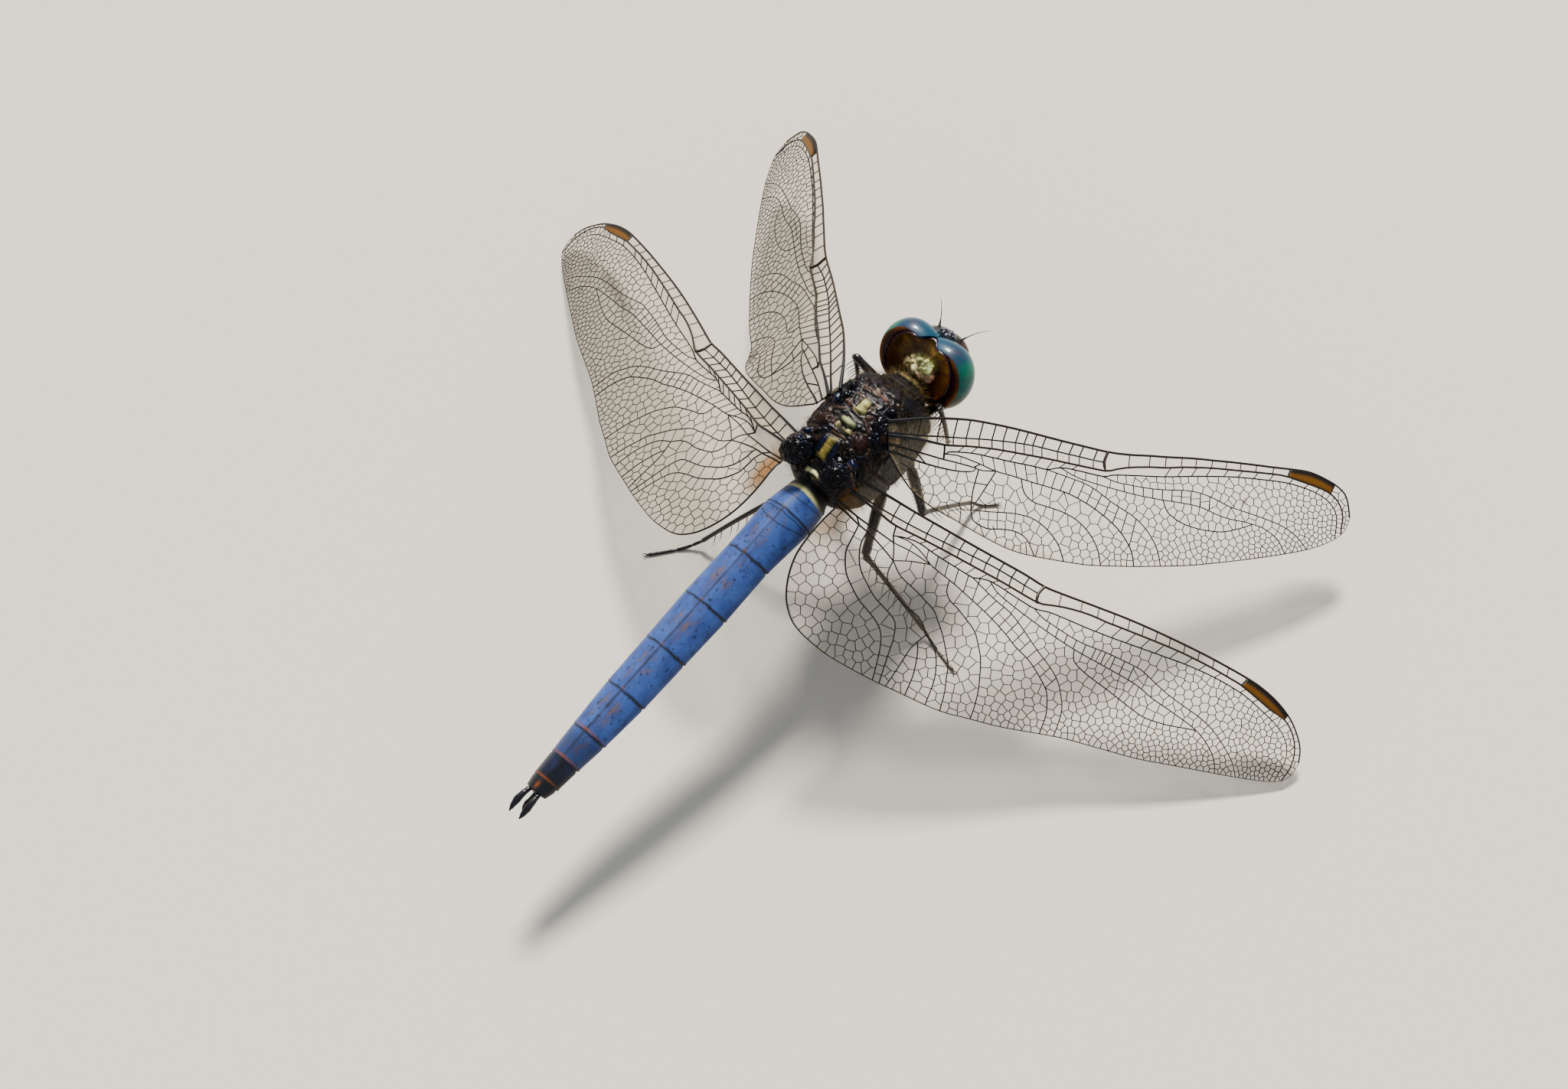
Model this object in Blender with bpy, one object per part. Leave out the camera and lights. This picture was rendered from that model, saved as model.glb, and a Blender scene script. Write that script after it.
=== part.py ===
# A skimmer dragonfly, at rest with its wings held out, forward and down.
# Every size is in millimetres and turned to metres by MM. "forward" runs from tail to head, "left" to the
# dragonfly's own left and "up" from the floor; heights are given from the level of the wing roots.
import math

import bmesh
import bpy
from mathutils import Matrix, Vector

MM = 0.001
GAP = 0.05  # clearance between pieces that touch

WING_ROOT_HEIGHT = 14.0  # wing roots above the floor

# The head has a frame of its own, whose top is tipped forward. Its pieces are ellipsoids: centre, half sizes.
HEAD_CENTRE = (7.4, 0.08, -1.05)
HEAD_TIP = math.radians(28)
EYE_OFFSET = 1.42
EYE_SEMI = (1.72, 1.9, 2.3)
EYE_REAR = -0.92  # the eyes are flat behind this place
HEAD_PIECES = {
    "head": ((-0.95, 0, -0.1), (0.62, 2.7, 1.95)),
    "vertex": ((1.0, 0, 1.5), (0.65, 0.55, 0.6)),
    "face": ((1.35, 0, 0.55), (1.0, 1.3, 0.95)),
    "clypeus": ((1.3, 0, -0.5), (0.9, 1.5, 0.65)),
    "mouth": ((0.75, 0, -1.5), (1.15, 1.5, 0.8)),
}
ANTENNA_BASE = (1.25, 0.75, 1.7)
ANTENNA_TIP = (2.6, 2.0, 2.9)
ANTENNA_RADII = (0.3, 0.26, 0.25)

# The thorax leans, feet forward. A station is its top and bottom, as (forward, up), and its half width.
THORAX = (
    ((4.0, -0.3), (5.9, -4.3), 1.6),
    ((3.3, 0.5), (5.3, -5.5), 2.3),
    ((2.2, 0.95), (4.1, -6.2), 2.8),
    ((0.8, 1.05), (2.5, -6.6), 3.0),
    ((-0.6, 0.9), (1.0, -6.6), 3.0),
    ((-2.0, 0.4), (-0.6, -6.1), 2.9),
    ((-3.2, -0.35), (-2.2, -5.2), 2.65),
    ((-3.85, -1.25), (-3.4, -4.2), 1.8),
)
COLLAR = (
    ((4.0, -0.7), (5.1, -3.4), 1.2),
    ((4.65, -0.5), (5.3, -2.8), 1.3),
    ((5.05, -0.5), (5.35, -2.0), 0.95),
    ((5.5, -0.65), (5.5, -1.3), 0.4),
)
THORAX_POWERS = (3.0, 2.3)  # of the section's upper and lower halves; 2 is an ellipse, more is squarer
THORAX_SIDES = 20

# The abdomen's mid-back line: its start, its slope, and the joints' distances from that of segments 2 and 3.
ABDOMEN_START = (-6.39, -1.37)
ABDOMEN_SLOPE = math.radians(11.6)
WAIST_SLOPE = math.radians(2)
WAIST_BEND = 3.6  # length over which the waist's slope turns into the abdomen's
ABDOMEN_SIDES = 16
ABDOMEN_POWERS = (1.55, 2.2)
JOINTS = (-2.5, -1.85, 0.0, 3.82, 7.85, 11.55, 15.21, 18.57, 20.73, 22.44, 23.3)
WIDTHS = (2.6, 3.05, 3.55, 3.2, 3.35, 3.15, 3.0, 2.55, 2.15, 1.9, 1.5)
ABDOMEN_YAW = 0.011  # the tail's drift to the left, for each millimetre back
HEIGHTS = (2.6, 3.1, 3.0, 2.35, 2.25, 2.15, 2.05, 1.85, 1.6, 1.4, 1.15)
CERCUS_LENGTH = 1.75
CERCUS_RADII = (0.26, 0.28, 0.16)
CERCUS_PLACE = (0.4, 0.2)  # aside and up, from the middle of the tail's end
EPIPROCT_LENGTH = 1.15
EPIPROCT_RADII = (0.28, 0.28, 0.2)
EPIPROCT_DROP = 0.42

# Wings: the roots, the sweep forward, the droop outward and the twist about the leading edge. Outlines are given
# as (along the wing, back across it), as they look on a flat wing. "bow" lifts the inner wing off its plane: by so
# much at the leading edge, by so much more for each millimetre back across it, in full up to one place along the
# wing and not past another. "lean" is how far each millimetre of bow shifts a place along the wing and across it.
WING_THICKNESS = 0.5
WINGS = {
    "fore": {
        "root": (2.02, 2.29, 0.75),
        "sweep": {"left": math.radians(43.6), "right": math.radians(43.6)},
        "droop": math.radians(17.9),
        "twist": {"left": math.radians(41), "right": math.radians(26)},
        "bow": (0.35, 0.13, 6.0, 11.5),
        "lean": (0.35, -0.14),
        "leading": (
            (-0.25, 0.0), (1.4, -0.35), (3.0, -0.55), (4.6, -0.65), (6.2, -0.58), (8.0, -0.42), (10.0, -0.18),
            (12.0, 0.05), (13.9, 0.24), (15.4, 0.24), (17.9, 0.08), (21.1, -0.09), (25.4, -0.15), (27.4, -0.17),
            (28.3, -0.06), (29.2, 0.22), (29.9, 0.52), (30.55, 1.0), (30.85, 1.7), (31.0, 2.4),
        ),
        "trailing": (
            (-0.1, 2.7), (0.5, 3.5), (1.3, 4.3), (2.3, 4.95), (4.2, 5.75), (6.0, 6.5), (7.0, 6.9), (8.0, 7.2),
            (9.0, 7.37), (11.0, 7.52), (13.0, 7.58), (15.0, 7.45), (17.0, 7.25), (20.0, 6.85), (22.5, 6.35),
            (24.5, 5.9), (26.5, 5.4), (28.2, 4.9), (29.5, 4.35), (30.4, 3.75), (30.85, 3.15), (31.0, 2.6),
        ),
    },
    "hind": {
        "root": (-2.58, 2.92, 0.28),
        "sweep": {"left": math.radians(21.0), "right": math.radians(20.4)},
        "droop": math.radians(21.5),
        "twist": {"left": math.radians(26), "right": math.radians(26)},
        "bow": (-1.35, 0.11, 13.5, 27.5),
        "lean": (0.18, -0.05),
        "leading": (
            (-0.75, 0.02), (2.0, 0.1), (6.0, 0.28), (10.0, 0.4), (13.5, 0.54), (14.8, 0.42), (17.0, 0.15),
            (19.0, -0.09), (21.0, -0.24), (23.2, -0.33), (25.2, -0.36), (27.7, -0.3), (29.0, -0.15), (30.2, 0.17),
            (31.3, 0.67), (32.1, 1.28), (32.8, 2.06), (33.15, 2.8),
        ),
        "trailing": (
            (-0.6, 2.4), (-0.9, 3.3), (-1.2, 4.6), (-1.35, 6.0), (-1.15, 7.4), (-0.6, 8.7), (0.2, 9.6),
            (2.05, 10.35), (6.0, 10.68), (8.0, 10.62), (11.0, 10.47), (13.0, 10.05), (15.0, 9.6), (17.0, 9.0),
            (19.0, 8.4), (21.2, 7.94), (23.7, 7.4), (25.8, 6.78), (27.8, 6.19), (29.9, 5.56), (31.7, 4.94),
            (32.7, 4.4), (33.1, 3.7), (33.15, 3.1),
        ),
    },
}
WING_COLUMNS = 30
WING_ROWS = 4

# Legs: hip, knee, end of the shin and claw, each as (forward, left, up) with "left" for the left leg's side.
FLOOR = -WING_ROOT_HEIGHT
LEGS = {
    "fore_left": ((5.3, 0.9, -4.1), (5.5, 4.55, -2.3), (5.3, 4.1, -5.6), (6.2, 3.4, -7.0)),
    "fore_right": ((5.3, -0.9, -4.1), (5.5, -2.6, -1.3), (5.4, -3.4, -4.6), (6.3, -2.9, -6.0)),
    "mid_left": ((3.7, 1.3, -5.6), (3.2, 4.2, -9.2), (7.3, 4.6, FLOOR + 0.6), (8.9, 5.9, FLOOR + 0.3)),
    "mid_right": ((3.7, -1.3, -5.6), (2.6, -3.7, -9.5), (7.2, -4.2, FLOOR + 0.6), (8.6, -5.6, FLOOR + 0.3)),
    "hind_left": ((1.9, 1.3, -6.0), (-2.9, 3.6, -8.1), (-7.0, 7.7, FLOOR + 0.6), (-10.4, 10.35, FLOOR + 0.3)),
    "hind_right": ((1.9, -1.3, -6), (-2.9, -3.5, -8.1), (-2.4, -8.1, FLOOR + 0.6), (-3.4, -11.8, FLOOR + 0.3)),
}
# Radii of the hip, thigh and shin, and the shin's clearance from the knee's centre.
LEG_RADII = {"fore": (0.5, 0.34, 0.25, 0.75), "mid": (0.55, 0.38, 0.26, 0.45), "hind": (0.6, 0.4, 0.27, 0.45)}
LEG_SIDES = 8
FOOT_HEIGHT = 0.5
FOOT_WIDTH = 0.5
FOOT_RADIUS = 0.25  # of a foot held clear of the floor


def point(forward, left, up):
    return Vector((left, -forward, up + WING_ROOT_HEIGHT)) * MM


def head_point(forward, left, up):
    turned = Matrix.Rotation(HEAD_TIP, 3, "Y") @ Vector((forward, left, up))
    return point(*(turned + Vector(HEAD_CENTRE)))


def clear_scene():
    for obj in list(bpy.data.objects):
        bpy.data.objects.remove(obj, do_unlink=True)


def finish(name, hex_colour, roughness, metallic=0.0, alpha=1.0):
    material = bpy.data.materials.new(name)
    material.use_nodes = True
    shader = material.node_tree.nodes["Principled BSDF"]
    channels = [int(hex_colour[i : i + 2], 16) / 255 for i in (0, 2, 4)]
    shader.inputs["Base Color"].default_value = [c**2.2 for c in channels] + [1.0]
    shader.inputs["Roughness"].default_value = roughness
    shader.inputs["Metallic"].default_value = metallic
    shader.inputs["Alpha"].default_value = alpha
    return material


def new_object(name, bm, material):
    bmesh.ops.recalc_face_normals(bm, faces=bm.faces)
    mesh = bpy.data.meshes.new(name)
    bm.to_mesh(mesh)
    bm.free()
    mesh.shade_smooth()
    mesh.set_sharp_from_angle(angle=math.radians(40))
    mesh.materials.append(material)
    obj = bpy.data.objects.new(name, mesh)
    bpy.context.scene.collection.objects.link(obj)
    return obj


def helper(obj):
    obj.hide_render = True
    obj.display_type = "WIRE"
    return obj


def cut(obj, cutter, operation="DIFFERENCE"):
    modifier = obj.modifiers.new(operation.title(), "BOOLEAN")
    modifier.operation = operation
    modifier.object = cutter


def smooth_line(points, steps):
    """Catmull-Rom line through the points, evenly spaced by parameter."""
    points = [Vector(p) for p in points]
    points = [2 * points[0] - points[1], *points, 2 * points[-1] - points[-2]]
    line = []
    for step in range(steps + 1):
        place = step / steps * (len(points) - 3)
        index = min(int(place), len(points) - 4)
        t = place - index
        a, b, c, d = points[index : index + 4]
        bend = 2 * a - 5 * b + 4 * c - d
        twist = 3 * b - a - 3 * c + d
        line.append(0.5 * (2 * b + (c - a) * t + bend * t**2 + twist * t**3))
    return line


def oval(centre, across, upward, sides, top_power=2.0, bottom_power=2.0):
    """A ring of points on a superellipse; a power under 2 makes that half more like a roof."""
    ring = []
    for side in range(sides):
        angle = math.tau * side / sides + math.pi / 2
        cosine, sine = math.cos(angle), math.sin(angle)
        power = 2 / (top_power if sine > 0 else bottom_power)
        x = math.copysign(abs(cosine) ** power, cosine)
        z = math.copysign(abs(sine) ** power, sine)
        ring.append(centre + across * x + upward * z)
    return ring


def loft(name, rings, material):
    bm = bmesh.new()
    loops = [[bm.verts.new(co) for co in ring] for ring in rings]
    sides = len(rings[0])
    for near, far in zip(loops, loops[1:]):
        for i in range(sides):
            j = (i + 1) % sides
            bm.faces.new((near[i], near[j], far[j], far[i]))
    for ends in (loops[0], loops[-1]):
        bm.faces.new(ends)
    return new_object(name, bm, material)


def ellipsoid(name, centre, semi, material, segments=20, rings=12, planes=()):
    """An ellipsoid in the head's frame, cut flat by planes given as (place, outward normal)."""
    bm = bmesh.new()
    bmesh.ops.create_uvsphere(bm, u_segments=segments, v_segments=rings, radius=1.0)
    for vert in bm.verts:
        vert.co = Vector(vert.co[i] * semi[i] + centre[i] for i in range(3))
    for co, normal in planes:
        everything = bm.verts[:] + bm.edges[:] + bm.faces[:]
        found = bmesh.ops.bisect_plane(bm, geom=everything, plane_co=co, plane_no=normal, clear_outer=True)
        edges = [e for e in found["geom_cut"] if isinstance(e, bmesh.types.BMEdge)]
        bmesh.ops.edgeloop_fill(bm, edges=edges)
    for vert in bm.verts:
        vert.co = head_point(*vert.co)
    return new_object(name, bm, material)


def head_piece(name, material, room=False):
    """One of the head's pieces or, as a cutter, the room it takes."""
    centre, semi = HEAD_PIECES[name]
    if not room:
        return ellipsoid(name, centre, semi, material)
    return helper(ellipsoid(f"{name}_room", centre, [size + GAP for size in semi], material))


def make_head(finishes):
    sides = {"left": 1, "right": -1}
    eye_rooms = []
    for side, sign in sides.items():
        centre = (0, sign * EYE_OFFSET, 0)
        for name, grown in (("eye", 0), ("eye_room", GAP)):
            semi = [size + grown for size in EYE_SEMI]
            rear = ((EYE_REAR - grown, 0, 0), (-1, 0, 0))
            seam = ((0, sign * (GAP / 2 - grown), 0), (0, -sign, 0))
            eye = ellipsoid(f"{name}_{side}", centre, semi, finishes["eye"], 24, 14, (rear, seam))
            if grown:
                eye_rooms.append(helper(eye))
    head = head_piece("head", finishes["head"])
    vertex, face, mouth = (head_piece(name, finishes["face"]) for name in ("vertex", "face", "mouth"))
    cut(face, helper(head_piece("clypeus", finishes["face"])), "UNION")
    face_room, clypeus_room, mouth_room, vertex_room = (
        head_piece(name, finishes["face"], room=True) for name in ("face", "clypeus", "mouth", "vertex")
    )
    for obj, rooms in (
        (head, (mouth_room, *eye_rooms)),
        (vertex, (face_room, clypeus_room, *eye_rooms)),
        (face, eye_rooms),
        (mouth, (face_room, clypeus_room, *eye_rooms)),
    ):
        for room in rooms:
            cut(obj, room)
    for side, sign in sides.items():
        base, tip = (head_point(x, sign * y, z) for x, y, z in (ANTENNA_BASE, ANTENNA_TIP))
        stations = zip((base, base.lerp(tip, 0.3), tip), ANTENNA_RADII)
        antenna = rod(f"antenna_{side}", list(stations), 6, finishes["leg"])
        for room in (*eye_rooms, face_room, vertex_room):
            cut(antenna, room)


def rod(name, stations, sides, material):
    """A tapered round rod through (place, radius) stations, its radii in millimetres."""
    rings = []
    for index, (place, radius) in enumerate(stations):
        before = stations[max(index - 1, 0)][0]
        after = stations[min(index + 1, len(stations) - 1)][0]
        along = (after - before).normalized()
        across = along.cross(Vector((0, 0, 1))).normalized() * radius * MM
        rings.append(oval(place, across, across.cross(along), sides))
    return loft(name, rings, material)


def slanted_loft(name, stations, grown, finishes):
    rings = []
    for index, ((top_x, top_z), (bottom_x, bottom_z), half_width) in enumerate(stations):
        outward = grown * {0: 1, len(stations) - 1: -1}.get(index, 0)
        top = point(top_x + outward, 0, top_z + grown)
        bottom = point(bottom_x + outward, 0, bottom_z - grown)
        across = Vector(((half_width + grown) * MM, 0, 0))
        rings.append(oval((top + bottom) / 2, across, (top - bottom) / 2, THORAX_SIDES, *THORAX_POWERS))
    return loft(name, rings, finishes["thorax"])


def make_thorax(finishes):
    slanted_loft("thorax", THORAX, 0, finishes)
    room = helper(slanted_loft("thorax_room", THORAX, GAP, finishes))
    cut(slanted_loft("prothorax", COLLAR, 0, finishes), room)
    return room


def make_abdomen(finishes):
    def station(distance, width, height):
        """The abdomen's ring at a distance along the mid-back line, which levels off towards the thorax."""
        slope = ABDOMEN_SLOPE if distance >= 0 else WAIST_SLOPE
        forward = ABDOMEN_START[0] - distance * math.cos(slope)
        up = ABDOMEN_START[1] - distance * math.sin(slope)
        turned = min(max(distance / WAIST_BEND + 0.5, 0), 1)
        tilt = WAIST_SLOPE + (ABDOMEN_SLOPE - WAIST_SLOPE) * turned
        upward = Vector((0, math.sin(tilt), math.cos(tilt))) * height / 2 * MM
        across = Vector((width / 2 * MM, 0, 0))
        left = max(distance, 0) * ABDOMEN_YAW
        return oval(point(forward, left, up) - upward, across, upward, ABDOMEN_SIDES, *ABDOMEN_POWERS)

    for number in range(1, 11):
        start, end = JOINTS[number - 1], JOINTS[number]
        rings = []
        for part in (0, 0.5, 1):
            distance = start + (end - start) * part + (GAP / 2) * (1 - 2 * part)
            width = WIDTHS[number - 1] + (WIDTHS[number] - WIDTHS[number - 1]) * part
            height = HEIGHTS[number - 1] + (HEIGHTS[number] - HEIGHTS[number - 1]) * part
            rings.append(station(distance, width, height))
        loft(f"abdomen_s{number}", rings, finishes["abdomen" if number < 9 else "tail"])

    back = Vector((0, math.cos(ABDOMEN_SLOPE), -math.sin(ABDOMEN_SLOPE))) * MM
    tail = station(JOINTS[-1] + GAP, WIDTHS[-1], HEIGHTS[-1])
    middle = (tail[0] + tail[ABDOMEN_SIDES // 2]) / 2
    aside, up = CERCUS_PLACE
    for side, sign in {"left": 1, "right": -1}.items():
        base = middle + Vector((sign * aside, 0, up)) * MM
        tip = base + back * CERCUS_LENGTH + Vector((sign * 0.08, 0, 0.1)) * MM
        stations = zip((base, base.lerp(tip, 0.6), tip), CERCUS_RADII)
        rod(f"cercus_{side}", list(stations), LEG_SIDES, finishes["tail"])
    base = middle - Vector((0, 0, EPIPROCT_DROP)) * MM
    stations = zip((base + back * EPIPROCT_LENGTH * part for part in (0, 0.7, 1)), EPIPROCT_RADII)
    rod("epiproct", list(stations), LEG_SIDES, finishes["tail"])


def bow_height(wing, along, across):
    lift, slope, full, none = wing["bow"]
    share = min(max((none - along) / (none - full), 0), 1)
    return (lift + slope * across) * share * share * (3 - 2 * share)


def wing_edge(wing, outline):
    """The outline with the shift of the bow taken out, as evenly spaced points."""
    lean_along, lean_across = wing["lean"]
    spots = []
    for along, across in outline:
        height = bow_height(wing, along, across)
        spots.append((along - lean_along * height, across - lean_across * height, 0))
    return smooth_line(spots, WING_COLUMNS)


def make_wing(name, wing, side, material):
    sign = 1 if side == "left" else -1
    sweep, droop, twist = wing["sweep"][side], wing["droop"], wing["twist"][side]
    axis = Vector((math.sin(sweep) * math.cos(droop), math.cos(sweep) * math.cos(droop), -math.sin(droop)))
    level = Vector((-math.cos(sweep), math.sin(sweep), 0))
    above = axis.cross(level)
    if above.z < 0:
        above.negate()
    chord = level * math.cos(twist) - above * math.sin(twist)
    above = level * math.sin(twist) + above * math.cos(twist)
    leading, trailing = wing_edge(wing, wing["leading"]), wing_edge(wing, wing["trailing"])
    bm = bmesh.new()
    bmesh.ops.create_grid(bm, x_segments=WING_COLUMNS, y_segments=WING_ROWS, size=0.5)
    for vert in bm.verts:
        column = round((vert.co.x + 0.5) * WING_COLUMNS)
        place = leading[column].lerp(trailing[column], vert.co.y + 0.5)
        spot = Vector(wing["root"]) + axis * place.x + chord * place.y
        spot += above * bow_height(wing, place.x, place.y)
        vert.co = point(spot.x, spot.y * sign, spot.z)
    obj = new_object(f"wing_{name}_{side}", bm, material)
    modifier = obj.modifiers.new("Thickness", "SOLIDIFY")
    modifier.thickness = WING_THICKNESS * MM
    modifier.offset = 0
    return obj


def make_leg(name, joints, finishes):
    hip, knee, ankle, claw = (point(*joint) for joint in joints)
    hip_radius, femur_radius, tibia_radius, knee_room = LEG_RADII[name.split("_")[0]]
    femur = (knee - hip).normalized()
    stations = (
        (hip, hip_radius),
        (hip + femur * 0.9 * MM, hip_radius * 0.8),
        (hip + femur * 1.5 * MM, femur_radius),
        (hip.lerp(knee, 0.6), femur_radius),
        (knee - femur * 0.15 * MM, femur_radius * 0.85),
        (knee + femur * 0.12 * MM, femur_radius * 0.5),
    )
    thigh = rod(f"leg_{name}_femur", stations, LEG_SIDES, finishes["leg"])
    tibia = (ankle - knee).normalized()
    stations = (
        (knee + tibia * knee_room * MM, tibia_radius * 0.9),
        (knee + tibia * (knee_room + 0.5) * MM, tibia_radius * 1.1),
        (ankle - tibia * 0.35 * MM, tibia_radius * 0.95),
    )
    rod(f"leg_{name}_tibia", stations, LEG_SIDES, finishes["leg"])
    return thigh, ankle, claw


def make_foot(name, ankle, claw, finishes):
    """The tarsus. On the floor it is a bar with a flat sole at floor level, elsewhere a round rod."""
    along = claw - ankle
    if ankle.z < 1.0 * MM:
        along.z = 0
        along.normalize()
        start = ankle + along * 0.05 * MM
        aside = Vector((-along.y, along.x, 0)) * FOOT_WIDTH / 2 * MM
        height = FOOT_HEIGHT * MM
        rings = []
        for place, top in ((start, ankle.z), (start.lerp(claw, 0.5), height), (claw, height * 0.9)):
            low, high = Vector((place.x, place.y, 0)), Vector((place.x, place.y, top))
            rings.append([low - aside, low + aside, high + aside * 0.6, high - aside * 0.6])
        loft(f"leg_{name}_tarsus", rings, finishes["leg"])
    else:
        along.normalize()
        start = ankle + along * 0.35 * MM
        rod(f"leg_{name}_tarsus", ((start, FOOT_RADIUS), (claw, FOOT_RADIUS)), LEG_SIDES, finishes["leg"])


def stand_on_origin():
    """Parents every piece to one empty and puts the model's footprint centre on the origin."""
    carrier = bpy.data.objects.new("carrier", None)
    bpy.context.scene.collection.objects.link(carrier)
    bpy.context.view_layer.update()
    graph = bpy.context.evaluated_depsgraph_get()
    shown = [obj for obj in bpy.data.objects if obj.type == "MESH" and not obj.hide_render]
    corners = [vert.co for obj in shown for vert in obj.evaluated_get(graph).data.vertices]
    for obj in bpy.data.objects:
        if obj != carrier:
            obj.parent = carrier
    lowest = Vector(min(co[axis] for co in corners) for axis in range(3))
    highest = Vector(max(co[axis] for co in corners) for axis in range(3))
    carrier.location = -Vector(((lowest.x + highest.x) / 2, (lowest.y + highest.y) / 2, lowest.z))


def main():
    clear_scene()
    finishes = {
        "eye": finish("Eye", "1F4A58", 0.15),
        "head": finish("Rear of head", "4A2C12", 0.5),
        "face": finish("Face", "3A2A22", 0.45),
        "thorax": finish("Thorax cuticle", "2B241F", 0.5),
        "abdomen": finish("Blue bloom", "3E62A8", 0.6),
        "tail": finish("Tail cuticle", "1B1D26", 0.35),
        "leg": finish("Leg cuticle", "151312", 0.3),
        "wing": finish("Wing membrane", "C8B48A", 0.2, alpha=0.35),
    }
    make_head(finishes)
    thorax_room = make_thorax(finishes)
    make_abdomen(finishes)
    for name, wing in WINGS.items():
        for side in ("left", "right"):
            cut(make_wing(name, wing, side, finishes["wing"]), thorax_room)
    for name, joints in LEGS.items():
        thigh, ankle, claw = make_leg(name, joints, finishes)
        cut(thigh, thorax_room)
        make_foot(name, ankle, claw, finishes)
    stand_on_origin()


main()
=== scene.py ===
import math
import random

import bmesh
import bpy
from mathutils import Matrix, Vector, noise
from mathutils.geometry import delaunay_2d_cdt


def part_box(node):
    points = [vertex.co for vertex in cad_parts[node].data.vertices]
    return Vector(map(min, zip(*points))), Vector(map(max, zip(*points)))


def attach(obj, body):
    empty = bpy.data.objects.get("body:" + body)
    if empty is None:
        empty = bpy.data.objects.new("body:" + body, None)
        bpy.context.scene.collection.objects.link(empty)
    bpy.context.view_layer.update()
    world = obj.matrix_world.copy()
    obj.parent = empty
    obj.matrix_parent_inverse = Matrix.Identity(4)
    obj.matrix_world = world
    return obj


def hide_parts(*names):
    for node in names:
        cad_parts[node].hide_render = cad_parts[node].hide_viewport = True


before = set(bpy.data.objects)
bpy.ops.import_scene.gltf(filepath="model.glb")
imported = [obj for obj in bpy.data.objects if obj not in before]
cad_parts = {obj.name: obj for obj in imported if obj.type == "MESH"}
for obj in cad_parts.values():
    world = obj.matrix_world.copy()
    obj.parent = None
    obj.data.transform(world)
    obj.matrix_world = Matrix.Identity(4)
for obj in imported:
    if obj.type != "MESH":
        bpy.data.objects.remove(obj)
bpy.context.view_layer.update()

mm = 0.001
# In millimetres, beyond any distance that is looked for.
farAway = 9
sides = {"left": 1, "right": -1}
thoraxLow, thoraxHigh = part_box("thorax")
floorLevel = min(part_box(name)[0][2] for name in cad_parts)
# The body's own zero: on the midline, at the wing roots' height. The thorax ends a little behind it.
rootHeight, thoraxEnd = 14, 3.85
bodyZero = Vector(
    ((thoraxLow[0] + thoraxHigh[0]) / 2, thoraxHigh[1] - thoraxEnd * mm, floorLevel + rootHeight * mm)
)


def place(forward, left, up):
    return bodyZero + Vector((left, -forward, up)) * mm


def clamp(value, low=0.0, high=1.0):
    return min(max(value, low), high)


def mix(first, second, share):
    return first + (second - first) * share


def smooth(value):
    value = clamp(value)
    return value * value * (3 - 2 * value)


def bell(value, width):
    # 1 at a value of 0, falling away on both sides.
    return math.exp(-((value / width) ** 2))


def table(value, stops):
    # Straight steps between stops of (value, result).
    if value <= stops[0][0]:
        return stops[0][1]
    for (low, first), (high, second) in zip(stops, stops[1:]):
        if value <= high:
            return mix(first, second, (value - low) / max(high - low, 1e-9))
    return stops[-1][1]


def linear(code):
    channels = [int(code[i : i + 2], 16) / 255 for i in (0, 2, 4)]
    return [c / 12.92 if c <= 0.04045 else ((c + 0.055) / 1.055) ** 2.4 for c in channels] + [1.0]


def linears(codes):
    return [linear(code) for code in codes.split()]


def blendColour(first, second, share):
    return [mix(a, b, clamp(share)) for a, b in zip(first, second)]


def coats(colour, *layers):
    # Lays one colour after another over the first, each with its own share.
    for layer, share in layers:
        colour = blendColour(colour, layer, share)
    return colour


def addNode(tree, kind, settings=None, links=None):
    made = tree.nodes.new(kind)
    for key, value in (settings or {}).items():
        if isinstance(key, str) and key[0].islower():
            setattr(made, key, value)
        else:
            made.inputs[key].default_value = value
    for key, source in (links or {}).items():
        tree.links.new(source, made.inputs[key])
    return made


def newMaterial(name, **sockets):
    material = bpy.data.materials.new(name)
    material.use_nodes = True
    tree = material.node_tree
    shader = tree.nodes["Principled BSDF"]
    for key, value in sockets.items():
        shader.inputs[key.replace("_", " ")].default_value = value
    return material, tree, shader


def paintedMaterial(name, **sockets):
    # The base colour is the one that is painted on the mesh.
    material, tree, shader = newMaterial(name, **sockets)
    tint = addNode(tree, "ShaderNodeAttribute", {"attribute_name": "tint"})
    tree.links.new(tint.outputs["Color"], shader.inputs["Base Color"])
    return material, tree, shader, tint


def addObject(name, mesh, material, replaces=()):
    mesh.shade_smooth()
    mesh.materials.clear()
    mesh.materials.append(material)
    obj = bpy.data.objects.new(name, mesh)
    bpy.context.scene.collection.objects.link(obj)
    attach(obj, "root")
    if replaces:
        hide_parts(*replaces)
    return obj


def newObject(name, bm, material, replaces=(), normals=True):
    if normals:
        bmesh.ops.recalc_face_normals(bm, faces=bm.faces)
    mesh = bpy.data.meshes.new(name)
    bm.to_mesh(mesh)
    bm.free()
    return addObject(name, mesh, material, replaces)


def smoothLine(points, step):
    points = [Vector(p) for p in points]
    if len(points) == 2:
        count = max(round((points[1] - points[0]).length / step), 1)
        return [points[0].lerp(points[1], i / count) for i in range(count + 1)]
    closed = [2 * points[0] - points[1], *points, 2 * points[-1] - points[-2]]
    line = []
    for a, b, c, d in zip(closed, closed[1:], closed[2:], closed[3:]):
        count = max(round((c - b).length / step), 1)
        for i in range(count):
            t = i / count
            bend, twist = 2 * a - 5 * b + 4 * c - d, 3 * b - a - 3 * c + d
            line.append(0.5 * (2 * b + (c - a) * t + bend * t**2 + twist * t**3))
    return [*line, points[-1]]


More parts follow.
